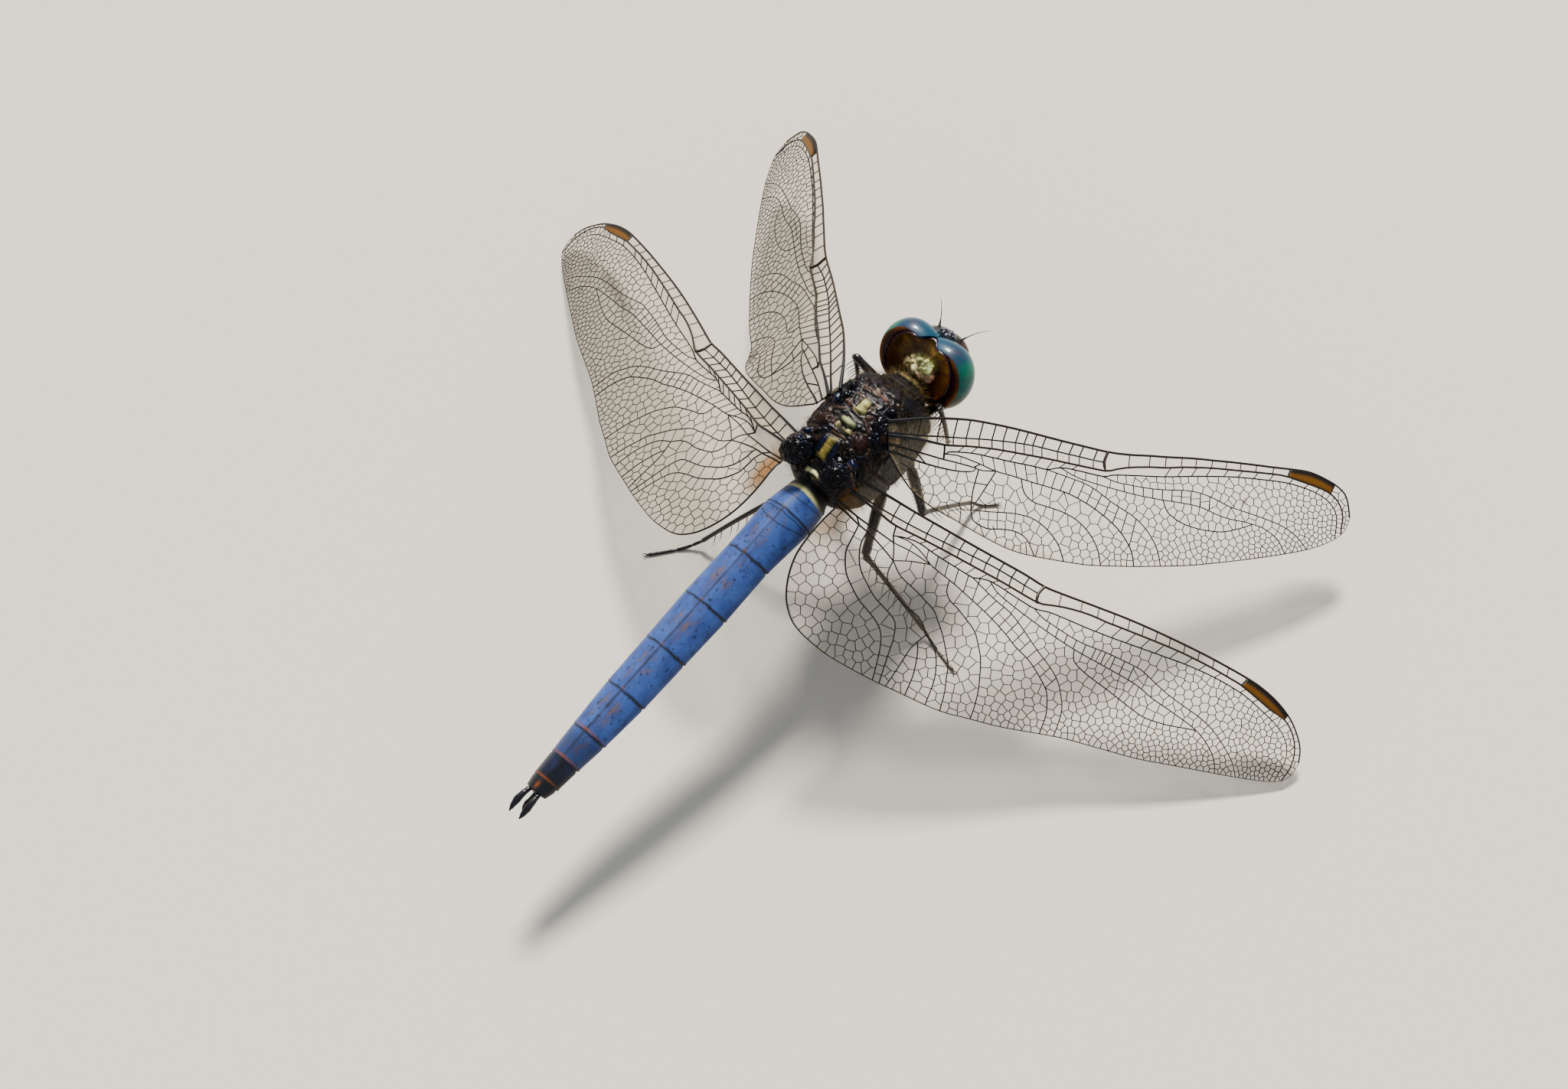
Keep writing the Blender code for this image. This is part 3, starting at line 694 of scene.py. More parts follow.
def buildWing(name, wing, layout):
    lines, placed, cells = layout
    widths = veinLook["widths"]
    rng = random.Random(veinLook["seed"] + 1)

    def height(spot):
        return heightAt(wing, spot.x, spot.y, lines)

    heights = {}
    cells.verts.index_update()
    for vert in cells.verts:
        heights[vert.index] = height(vert.co)
    middles, rings, plain = [], [], []
    for face in cells.faces:
        middle = face.calc_center_median_weighted()
        ring = [v.index for v in face.verts]
        ends = [v.co.xy - middle.xy for v in face.verts]
        if min(a.cross(b) for a, b in zip(ends, ends[1:] + ends[:1])) > 0:
            middles.append(
                (middle.xy, height(middle) + rng.choice((-1, 1)) * rng.uniform(0.3, 1) * wingLook["dome"])
            )
            rings.append(ring)
        else:
            plain.append(ring)
    flat = [vert.co.copy() for vert in cells.verts]
    netVeins, frontVeins = [], []
    # How thick the long veins are at each place along the wing.
    taper = ((-1, 1.9), (1, 1.35), (4, 1), (wing["stigma"][0], 0.95), (33, 0.6))
    for line, kind in placed:
        width = widths.get(kind, widths["other"])
        if kind in ("cell", "cross", "antenodal"):
            netVeins.append((line, [width] * len(line)))
            continue
        radii = [width * table(point.x, taper) for point in line]
        (frontVeins if kind in ("leading", "radius", "nodus") else netVeins).append((line, radii))

    for side in sides:
        axis, chord, above = wingFrame(wing, side)
        root = Vector(wing["root"])

        def lift(spot, raised):
            at = root + axis * spot.x + chord * spot.y + above * raised
            return place(at.x, at.y * sides[side], at.z)

        origin = lift(Vector((0, 1)), 0)

        def rootShare(co):
            return 1 - smooth(((co - origin).length / mm - 0.6) / 4.5)

        for piece, chosen, shadeNames in (
            ("veins", netVeins, ("vein", "veinRoot")), ("costa", frontVeins, ("costa", "costaRoot"))
        ):
            made = []
            for line, radii in chosen:
                made.append(([lift(p, height(p)) for p in line], [width / 2 * mm for width in radii]))
            obj = tubes(f"{piece}_{name}_{side}", made, veinMaterial, 1 if piece == "veins" else 3)
            outer, inner = (wingLook[key] for key in shadeNames)
            paint(obj, lambda vert: blendColour(outer, inner, rootShare(vert.co)))

        bm = bmesh.new()
        corners = [bm.verts.new(lift(co, heights[i])) for i, co in enumerate(flat)]
        for ring, (middle, raised) in zip(rings, middles):
            centre = bm.verts.new(lift(middle, raised))
            for a, b in zip(ring, ring[1:] + ring[:1]):
                bm.faces.new((corners[a], corners[b], centre))
        for ring in plain:
            bm.faces.new([corners[i] for i in ring])
        bm.normal_update()
        if sum(face.normal.dot(Vector((0, 0, 1))) for face in bm.faces) < 0:
            bmesh.ops.reverse_faces(bm, faces=bm.faces)
        obj = newObject(
            f"membrane_{name}_{side}", bm, membraneMaterial, [f"wing_{name}_{side}"], normals=False
        )
        film = obj.modifiers.new("Film", "SOLIDIFY")
        film.thickness = wingLook["film"] * mm
        film.offset = 0
        spots = iter([co.xy for co in flat] + [middle for middle, _ in middles])
        u, v, wide, deep = wing["amber"]

        def filmTint(vert):
            out = next(spots) - Vector((u, v))
            share = 1 - smooth((math.hypot(out.x / wide, out.y / deep) - 0.5) / 0.7)
            shade = blendColour(wingLook["membrane"], wingLook["amber"], share)
            return [*shade[:3], mix(wingLook["clear"], wingLook["amberCover"], share)]

        paint(obj, filmTint)

        bm = bmesh.new()
        across, along = 8, 28
        bmesh.ops.create_grid(bm, x_segments=along, y_segments=across, size=0.5)
        for vert in bm.verts:
            s, t = vert.co.x + 0.5, vert.co.y + 0.5
            top, low = (mix(*wing[key], s) for key in ("stigma", "stigmaLow"))
            first = Vector((top, atPlace(lines["leading"], top)))
            spot = first.lerp(Vector((low, atPlace(lines["radius"], low))), t)
            swell = wingLook["stigmaThickness"] / 2 * min(1, 4 * t * (1 - t) * 1.6) * min(1, 12 * s * (1 - s))
            vert.co = lift(spot, height(spot) + swell * 0.5)
        obj = newObject(f"stigma_{name}_{side}", bm, stigmaMaterial)
        pad = obj.modifiers.new("Pad", "SOLIDIFY")
        pad.thickness = wingLook["stigmaThickness"] / 2 * mm
        pad.offset = 0
        frontLine = [
            lift(Vector((u, atPlace(lines["leading"], u))), 0)
            for u in [mix(*wing["stigma"], i / 12) for i in range(13)]
        ]

        def stigmaTintAt(vert):
            near = min((vert.co - p).length for p in frontLine) / mm
            return blendColour(wingLook["stigmaEdge"], wingLook["stigma"], smooth((near - 0.18) / 0.25))

        paint(obj, stigmaTintAt)
    cells.free()


for wingName, wingData in wings.items():
    buildWing(wingName, wingData, layOut(wingData))
print("wings laid out and built")


def smoothRow(rows, s):
    # A smooth course through the rows of numbers, s running from 0 to 1.
    spot = clamp(s) * (len(rows) - 1)
    index = min(int(spot), len(rows) - 2)
    t = spot - index
    b, c = rows[index], rows[index + 1]
    a = rows[index - 1] if index else [2 * p - q for p, q in zip(b, c)]
    d = rows[index + 2] if index + 2 < len(rows) else [2 * q - p for p, q in zip(b, c)]
    return [
        0.5 * (2 * q + (r - p) * t + (2 * p - 5 * q + 4 * r - w) * t * t + (3 * q - p - 3 * r + w) * t**3)
        for p, q, r, w in zip(a, b, c, d)
    ]


def shell(name, columns, rows, surfaceAt, material, replaces=(), relief=None):
    # A closed skin: columns run along it, rows go round it, and each end is drawn together to a point.
    bm = bmesh.new()
    bmesh.ops.create_grid(bm, x_segments=columns, y_segments=rows, size=0.5)
    layer = bm.loops.layers.uv.new("OFBake")
    margin = 0.02
    params = {}
    for vert in bm.verts:
        s, t = vert.co.x + 0.5, vert.co.y + 0.5
        params[vert.index] = (s, t)
        for loop in vert.link_loops:
            loop[layer].uv = (mix(margin, 1 - margin, s), mix(margin, 1 - margin, t))
    for vert in bm.verts:
        vert.co = surfaceAt(*params[vert.index])
    bmesh.ops.remove_doubles(bm, verts=bm.verts, dist=0.0005 * mm)
    bmesh.ops.recalc_face_normals(bm, faces=bm.faces)
    bm.normal_update()
    if relief:
        moved = [(vert, relief(vert.co, vert.normal)) for vert in bm.verts]
        for vert, height in moved:
            vert.co += vert.normal * height * mm
    return newObject(name, bm, material, replaces)


def grained(height, scale, zero=Vector()):
    return lambda co, normal: height * noise.noise((co - zero) / mm * scale)


def bodySpot(co):
    local = (co - bodyZero) / mm
    return -local.y, local.x, local.z


def tinted(name, bump, bumpScale, coat=0.0, coatRoughness=0.1, sheen=0.0, specular=0.5):
    material, tree, shader = newMaterial(
        name, Coat_Weight=coat, Coat_Roughness=coatRoughness, Specular_IOR_Level=specular, Sheen_Weight=sheen
    )
    tint = addNode(tree, "ShaderNodeAttribute", {"attribute_name": "tint"})
    where = addNode(tree, "ShaderNodeTexCoord").outputs["Object"]
    grain = addNode(
        tree, "ShaderNodeTexNoise", {"Scale": bumpScale, "Detail": 4, "Roughness": 0.6}, {"Vector": where}
    )
    shade = addNode(
        tree, "ShaderNodeMix", {"data_type": "RGBA", "blend_type": "MULTIPLY", 0: 0.35},
        {6: tint.outputs["Color"]},
    )
    spread = {"From Min": 0.3, "From Max": 0.7, "To Min": 0.55, "To Max": 1.5}
    mottle = addNode(tree, "ShaderNodeMapRange", spread, {"Value": grain.outputs["Fac"]})
    tree.links.new(mottle.outputs[0], shade.inputs[7])
    tree.links.new(shade.outputs[2], shader.inputs["Base Color"])
    tree.links.new(tint.outputs["Alpha"], shader.inputs["Roughness"])
    raised = addNode(
        tree, "ShaderNodeBump", {"Strength": 1.0, "Distance": bump * mm}, {"Height": grain.outputs["Fac"]}
    )
    tree.links.new(raised.outputs[0], shader.inputs["Normal"])
    return material


def withGloss(colour, rough):
    return [*colour[:3], rough]


# Thorax: hard cuticle in plates; the eye sees dark gloss, pale waxy marks and brown seams.
thoraxMaterial = tinted("Thorax cuticle", 0.014, 9000, specular=0.25)
# Sections from the front back: (forward, up) of the top and of the bottom, and half the width.
thoraxRows = [
    (4.75, -0.75, 5.6, -2.9, 1.0), (4.35, -0.05, 5.7, -4.4, 2.0), (3.6, 0.72, 5.3, -5.5, 2.55),
    (2.4, 1.12, 4.3, -6.2, 2.85), (0.9, 1.15, 2.6, -6.6, 3.0),
    (-0.6, 0.98, 1.0, -6.6, 3.0), (-2.0, 0.5, -0.6, -6.1, 2.9), (-3.2, -0.3, -2.2, -5.2, 2.65),
    (-3.9, -1.2, -3.4, -4.2, 1.8), (-4.05, -1.9, -3.8, -3.3, 0.8),
]
# Plates of the back, each an outline in (forward, aside) on both sides of the midline, with how far it
# stands up, its colour, its roughness and how wide its rounded edge is. An outline that ends below
# 0 aside runs on across the midline.
plates = (
    # Keel of the front and the crest that it meets.
    (((4.3, -1), (4.3, 0.07), (3.2, 0.11), (2.55, 0.2), (2.3, 0.16), (2.25, -1)), 0.16, "C9AE88", 0.4, 0.1),
    (((2.62, 0.12), (2.42, 0.1), (2.3, 0.95), (2.52, 1.1)), 0.1, "7A5648", 0.38, 0.1),
    (((4.0, 0.22), (3.9, 1.1), (2.95, 1.5), (2.72, 0.5), (2.8, 0.22)), 0.1, "1E181B", 0.32, 0.3),
    (((2.2, 0.12), (2.12, 0.72), (1.9, 0.62), (1.95, 0.1)), 0.08, "14101A", 0.25, 0.14),
    (((1.9, 0.38), (1.86, 0.86), (1.68, 0.8), (1.7, 0.5)), 0.09, "9A8072", 0.38, 0.08),
    # Bulges at the roots of the forewings.
    (((2.3, 1.2), (2.62, 1.75), (2.1, 2.2), (1.62, 1.85), (1.7, 1.15)), 0.34, "0B0C16", 0.2, 0.45),
    (
        ((1.25, 1.5), (1.25, 2.05), (0.75, 2.35), (0.28, 2.0), (0.3, 1.5), (0.75, 1.3)), 0.32, "0D1024",
        0.2, 0.42,
    ),
    (((1.55, 2.15), (1.2, 2.6), (0.95, 2.35), (1.3, 2.1)), 0.16, "8A4610", 0.35, 0.2),
    # Shield of the middle segment.
    (
        ((1.82, -1), (1.8, 0.1), (1.64, 0.3), (1.15, 0.34), (0.74, 0.47), (0.62, 0.28), (0.58, -1)), 0.17,
        "A39C66", 0.42, 0.12,
    ),
    (((1.6, 0.42), (1.5, 0.72), (1.2, 0.6), (1.22, 0.44)), 0.08, "6E5E4A", 0.45, 0.08),
    (((1.45, 0.95), (1.4, 1.3), (1.05, 1.35), (1.1, 1.0)), 0.16, "1A1016", 0.22, 0.2),
    (((0.98, 0.62), (1.0, 0.95), (0.66, 1.05), (0.6, 0.68)), 0.1, "52382C", 0.4, 0.12),
    (((0.5, 0.58), (0.58, 0.75), (0.12, 1.62), (-0.14, 1.55), (0.2, 0.85)), 0.1, "4E3A32", 0.4, 0.1),
    # Scutellum: three lobes, pale and greenish.
    (
        ((0.0, -1), (0.0, 0.3), (-0.1, 0.62), (-0.34, 0.68), (-0.56, 0.4), (-0.72, -1)), 0.24, "98A072",
        0.4, 0.14,
    ),
    (
        ((-0.6, 0.36), (-0.52, 0.62), (-0.92, 0.72), (-1.04, 0.36), (-0.86, 0.14), (-0.74, 0.16)), 0.13,
        "A89C70", 0.42, 0.1,
    ),
    (((-0.32, 0.8), (-0.42, 0.96), (-1.0, 0.95), (-1.02, 0.8)), 0.1, "5E443A", 0.4, 0.08),
    (((-1.14, -1), (-1.14, 0.5), (-1.26, 0.56), (-1.27, -1)), 0.07, "84704A", 0.4, 0.06),
    (
        ((-0.4, 1.15), (-0.35, 1.75), (-0.9, 2.05), (-1.4, 1.8), (-1.35, 1.2), (-0.9, 1.02)), 0.14,
        "26100A", 0.34, 0.3,
    ),
    (((0.05, 2.35), (-0.02, 2.65), (-0.9, 2.7), (-0.8, 2.5)), 0.12, "2A1C14", 0.35, 0.14),
    # Shield of the hind segment, black with a yellow band.
    (
        ((-1.38, -1), (-1.4, 0.6), (-1.75, 0.92), (-2.5, 1.08), (-3.0, 0.85), (-3.08, -1)), 0.24, "06070C",
        0.26, 0.3,
    ),
    (((-1.42, -1), (-1.42, 0.22), (-2.2, 0.24), (-3.0, 0.33), (-3.06, -1)), 0.03, "82763E", 0.42, 0.16),
    (((-1.6, 0.3), (-1.7, 0.55), (-2.6, 0.6), (-2.7, 0.38)), 0.02, "0E1A3C", 0.3, 0.2),
    (((-1.5, 1.1), (-1.45, 1.4), (-1.8, 1.5), (-1.9, 1.2)), 0.14, "1C141A", 0.2, 0.14),
    (((-1.62, 0.98), (-1.66, 1.08), (-2.2, 1.24), (-2.2, 1.16)), 0.07, "6A5A44", 0.4, 0.06),
    # Bulges at the roots of the hindwings.
    (
        ((-1.6, 1.75), (-1.7, 2.25), (-2.25, 2.4), (-2.6, 2.0), (-2.3, 1.5), (-1.85, 1.5)), 0.36, "0C1230",
        0.18, 0.42,
    ),
    (
        ((-2.75, 1.45), (-2.6, 2.2), (-3.1, 2.5), (-3.65, 2.1), (-3.6, 1.5), (-3.15, 1.28)), 0.36, "0B0D1E",
        0.18, 0.46,
    ),
    (((-2.5, 2.4), (-2.5, 2.75), (-2.95, 2.8), (-3.0, 2.5)), 0.16, "8A3E0C", 0.35, 0.2),
    (((-2.35, 1.12), (-2.35, 1.4), (-2.65, 1.45), (-2.7, 1.15)), 0.15, "1E1718", 0.18, 0.14),
    # Last plates, before the waist.
    (((-3.1, 0.35), (-3.12, 0.62), (-3.34, 0.66), (-3.36, 0.4)), 0.1, "7A6458", 0.4, 0.1),
    (((-3.2, 0.72), (-3.15, 1.05), (-3.6, 1.15), (-3.62, 0.8)), 0.13, "64503E", 0.4, 0.14),
    (((-3.42, -1), (-3.44, 0.45), (-3.6, 0.64), (-3.84, 0.55), (-3.92, -1)), 0.2, "DCD8A4", 0.38, 0.2),
)
plateTable = []
for outline, *rest in plates:
    spots = [Vector(corner) for corner in outline]
    low = [min(corner[i] for corner in outline) - 0.15 for i in (0, 1)]
    high = [max(corner[i] for corner in outline) + 0.15 for i in (0, 1)]
    height, code, rough, edge = rest
    plateTable.append((spots, low, high, height, linear(code), rough, edge))
# The crack colour is painted shade, for the grooves between the small lumps of the thorax.
thoraxLook = {
    "base": linear("0E0B0C"), "seam": linear("3A2620"), "side": linear("120E0A"), "bloom": linear("2E282C"),
    "navy": linear("080B1C"), "bend": 0.13, "pitch": 0.55, "seams": (-0.3, 2.2, 4.3), "slant": 0.45,
    "depth": 3, "shadedCrack": linear("060506"), "tan": linear("5A4234"),
}


def seamsNear(x, z):
    # How far a spot of the side is from each seam. The seams run forward as they go down.
    return [abs((x - seam) + (z + thoraxLook["depth"]) * thoraxLook["slant"]) for seam in thoraxLook["seams"]]


def superOval(angle, above, below):
    # A place on an oval. The powers make its upper and lower half squarer (over 2) or sharper (under 2).
    cosine, sine = math.cos(angle), math.sin(angle)
    power = 2 / (above if sine > 0 else below)
    return math.copysign(abs(cosine) ** power, cosine), math.copysign(abs(sine) ** power, sine)


def plateAt(x, y, z):
    # The plates that cover this spot, each with how deep inside it the spot is, and how far the nearest
    # edge of any plate is.
    bend = thoraxLook["bend"]
    spot = Vector((x, y, z)) * 1.5
    x += bend * noise.noise(spot) + 0.4 * bend * noise.noise(spot * 3)
    y = abs(
        y + bend * noise.noise(spot + Vector((9, 2, 4)))
        + 0.4 * bend * noise.noise(spot * 3 + Vector((4, 7, 1)))
    )
    here = Vector((x, y))
    found = []
    rim = farAway
    for plate in plateTable:
        spots, low, high = plate[:3]
        if not (low[0] < x < high[0] and low[1] < y < high[1]):
            continue
        near = nearestOn([spots + spots[:1]], here)[0]
        if inside([(spot, 0) for spot in spots], here):
            found.append((near, plate))
        rim = min(rim, near)
    return found, rim


def thoraxSurface(s, t):
    topX, topZ, lowX, lowZ, half = smoothRow(thoraxRows, s)
    if s in (0.0, 1.0):
        half, topX, topZ = 0.0, (topX + lowX) / 2, (topZ + lowZ) / 2
        lowX, lowZ = topX, topZ
    x, z = superOval(math.tau * t, 3.0, 2.3)
    share = (z + 1) / 2
    return place(mix(lowX, topX, share), x * half, mix(lowZ, topZ, share))


def thoraxRelief(co, normal):
    x, y, z = bodySpot(co)
    height = 0.05 * noise.noise(Vector((x, y, z)) * 1.7) + 0.02 * noise.noise(Vector((x, y, z)) * 5)
    up = smooth((normal.z + 0.15) / 0.5)
    if up > 0:
        found, rim = plateAt(x, y, z)
        height += up * sum(plate[3] * smooth(deep / plate[6]) ** 0.8 for deep, plate in found)
        height -= up * 0.06 * (1 - smooth(rim / 0.08))
        distances = noise.voronoi(Vector((x, y, z)) / thoraxLook["pitch"])[0]
        height += (
            up * (0.02 if found else 0.09) * smooth((distances[1] - distances[0]) / 0.4)
            * smooth((3.6 - x) / 0.8)
        )
    side = abs(normal.x)
    for across in seamsNear(x, z):
        height -= 0.16 * smooth((side - 0.4) * 3) * (1 - smooth(across / 0.22))
    return height


def thoraxTint(vert):
    x, y, z = bodySpot(vert.co)
    spot = Vector((x, y, z))
    grain = noise.fractal(spot * 3.2, 1, 2, 3)
    colour = blendColour(thoraxLook["base"], thoraxLook["side"], 0.35 + grain * 0.5)
    rough = 0.52
    up = smooth((vert.normal.z + 0.15) / 0.5)
    front = smooth((x - 3.0) / 1.2)
    colour = blendColour(colour, thoraxLook["bloom"], 0.55 * front * (0.7 + grain))
    rough = mix(rough, 0.6, front)
    colour = blendColour(colour, thoraxLook["side"], 0.7 * (1 - up))
    navy = smooth((x - 2.9) / 0.8) * math.exp(-((abs(y) - 2.0) ** 2) / 0.5)
    colour = blendColour(colour, thoraxLook["navy"], 0.85 * navy * (0.8 + grain))
    if up > 0:
        found, rim = plateAt(x, y, z)
        for deep, plate in found:
            share = smooth(deep / 0.07) * up
            shade = 0.6 + 0.9 * grain + 0.55 * smooth(deep / 0.22)
            colour = blendColour(colour, [c * shade for c in plate[4]], share)
            rough = mix(rough, plate[5] + 0.08, share)
        distances, cells = noise.voronoi(spot / thoraxLook["pitch"])
        edge = distances[1] - distances[0]
        # The cracks between the small lumps are painted near black: painted shade in the grooves that the
        # relief lowers.
        shadedCrack = 1 - smooth(edge / 0.16)
        colour = blendColour(
            colour, thoraxLook["shadedCrack"], up * shadedCrack * (0.35 if found else 0.8) * smooth((3.6 - x) / 0.8)
        )
        if not found:
            tone = (cells[0].x * 5.3 + cells[0].y * 3.1) % 1
            cover = 0.75 if tone < 0.55 else 0.45 * smooth((tone - 0.7) / 0.2)
            behind = smooth((3.4 - x) / 0.8)
            colour = blendColour(
                colour, thoraxLook["navy" if tone < 0.55 else "tan"], up * (1 - shadedCrack) * cover * behind
            )
            rough = mix(rough, 0.3, up * (1 - shadedCrack) * behind)
            colour = blendColour(
                colour, thoraxLook["seam"], up * 0.7 * bell(rim - 0.05, 0.035) * clamp(0.5 + grain * 2)
            )
    for across in seamsNear(x, z):
        colour = blendColour(
            colour, thoraxLook["seam"],
            smooth((abs(vert.normal.x) - 0.4) * 3) * (1 - smooth((across - 0.05) / 0.25)) * 0.8,
        )
    return withGloss(colour, rough)


columns, rows = ((190, 230))
thorax = shell("thoraxSkin", columns, rows, thoraxSurface, thoraxMaterial, ["thorax"], thoraxRelief)
paint(thorax, thoraxTint)
# Collar: the small first segment, between the thorax and the neck.
collarRows = [
    (4.3, -0.35, 5.0, -3.2, 1.5), (4.7, -0.15, 5.25, -3.3, 1.85), (5.05, -0.4, 5.4, -2.9, 1.6),
    (5.35, -0.3, 5.5, -2.5, 1.4), (5.7, -0.5, 5.65, -2.0, 1.1), (6.1, -0.75, 6.0, -1.5, 0.5),
]


def collarSurface(s, t):
    topX, topZ, lowX, lowZ, half = smoothRow(collarRows, s)
    angle = math.tau * t
    share = (math.sin(angle) + 1) / 2
    half = 0 if s in (0.0, 1.0) else half
    if not half:
        share = 0.5
    return place(mix(lowX, topX, share), math.cos(angle) * half, mix(lowZ, topZ, share))


def collarTint(vert):
    x, y, z = bodySpot(vert.co)
    grain = noise.fractal(Vector((x, y, z)) * 4, 1, 2, 3)
    colour = blendColour(thoraxLook["base"], thoraxLook["bloom"], 0.45 + grain * 0.6)
    colour = blendColour(
        colour, linear("6A5C3E"),
        smooth((x - 5.1) / 0.4) * smooth((vert.normal.z - 0.1) * 3) * clamp(0.55 + grain * 1.5),
    )
    mark = smooth(1 - abs(x - 5.35) / 0.16) * smooth((vert.normal.z - 0.2) * 3)
    return withGloss(blendColour(colour, linear("8A7444"), mark * 0.55 * clamp(0.6 + grain * 2)), 0.6)


collar = shell(
    "collar", 40, 60, collarSurface, thoraxMaterial, ["prothorax"], grained(0.03, 2.5, bodyZero)
)
paint(collar, collarTint)
print("thorax built")

# Each joint's distance along the mid-back line, and the section there as (width, height).
joints = (-2.5, -1.85, 0, 3.82, 7.85, 11.55, 15.21, 18.57, 20.73, 22.44, 23.3)
widths = (2.6, 3.05, 3.55, 3.2, 3.35, 3.15, 3.0, 2.55, 2.15, 1.9, 1.5)
heights = (2.6, 3.1, 3.0, 2.35, 2.25, 2.15, 2.05, 1.85, 1.6, 1.4, 1.15)
segments = len(joints) - 1
# The mid-back line: where its joint 0 is, its slope behind and in front of that, in degrees, and its drift
# to the left.
backLine = {"forward": -6.39, "up": -1.37, "slope": 11.6, "waistSlope": 2.0, "drift": 0.011}
abdomenLook = {
    "bloom": linear("3A5896"), "deep": linear("1E3474"), "keel": linear("070A12"),
    "joint": linear("080A12"), "bare": linear("6E5638"),
    "tail": linear("0A0E18"), "ring": linear("7A4012"), "first": linear("0C0B0E"), "mark": linear("C9C486"),
    "belly": linear("14161E"),
}
# Powdery wax bloom over dark cuticle: a soft, nearly matt blue with a faint sheen at the edges.
bloomMaterial = tinted("Wax bloom", 0.006, 14000, coat=0.06, coatRoughness=0.4, sheen=0.15)


def abdomenFrame(distance):
    # Of a section: its place forward and up, how it is tipped, and its place to the left.
    slope = math.radians(backLine["slope" if distance >= 0 else "waistSlope"])
    forward = backLine["forward"] - distance * math.cos(slope)
    up = backLine["up"] - distance * math.sin(slope)
    turned = clamp(distance / 3.6 + 0.5)
    tilt = math.radians(mix(backLine["waistSlope"], backLine["slope"], turned))
    return forward, up, tilt, max(distance, 0) * backLine["drift"]


def segmentAt(distance):
    return next((i for i in range(segments) if distance <= joints[i + 1]), segments - 1)


def jointNear(distance):
    return min(range(len(joints)), key=lambda i: abs(joints[i] - distance))


def abdomenSurface(s, t):
    distance = mix(joints[0], joints[-1], s)
    index = segmentAt(distance)
    share = (distance - joints[index]) / (joints[index + 1] - joints[index])
    width = mix(widths[index], widths[index + 1], share)
    height = mix(heights[index], heights[index + 1], share)
    forward, up, tilt, left = abdomenFrame(distance)
    if s in (0.0, 1.0):
        width = 0.0
        up -= height / 2
        height = 0.0
    # Behind each joint the next segment slips under the rim of the one before it.
    near = jointNear(distance)
    gap = distance - joints[near]
    if 0 < near < segments:
        step = 0.05 * math.exp(-((gap - 0.05) ** 2) / 0.006) - 0.025 * math.exp(-((gap + 0.1) ** 2) / 0.01)
        width -= step * 2
        height -= step * 2
    angle = math.tau * t
    cosine, sine = math.cos(angle), math.sin(angle)
    x, z = superOval(angle, 1.55, 2.2)
    x, z = x * width / 2, z * height / 2
    # The belly is folded in beneath the side edges.
    if sine < 0:
        z *= 1 - 0.35 * smooth(-sine) * (1 - 0.5 * abs(cosine))
    lean = z - height / 2
    return place(forward - math.sin(tilt) * lean, left + x, up + math.cos(tilt) * lean)


def abdomenSpot(co):
    # How far back along the mid-back line, aside of it and below it a place is.
    x, y, z = bodySpot(co)
    slope = math.radians(backLine["slope"])
    back, down = backLine["forward"] - x, backLine["up"] - z
    distance = back * math.cos(slope) + down * math.sin(slope)
    below = down * math.cos(slope) - back * math.sin(slope)
    if distance < 0:
        distance, below = back, down
    return distance, y - max(distance, 0) * backLine["drift"], below


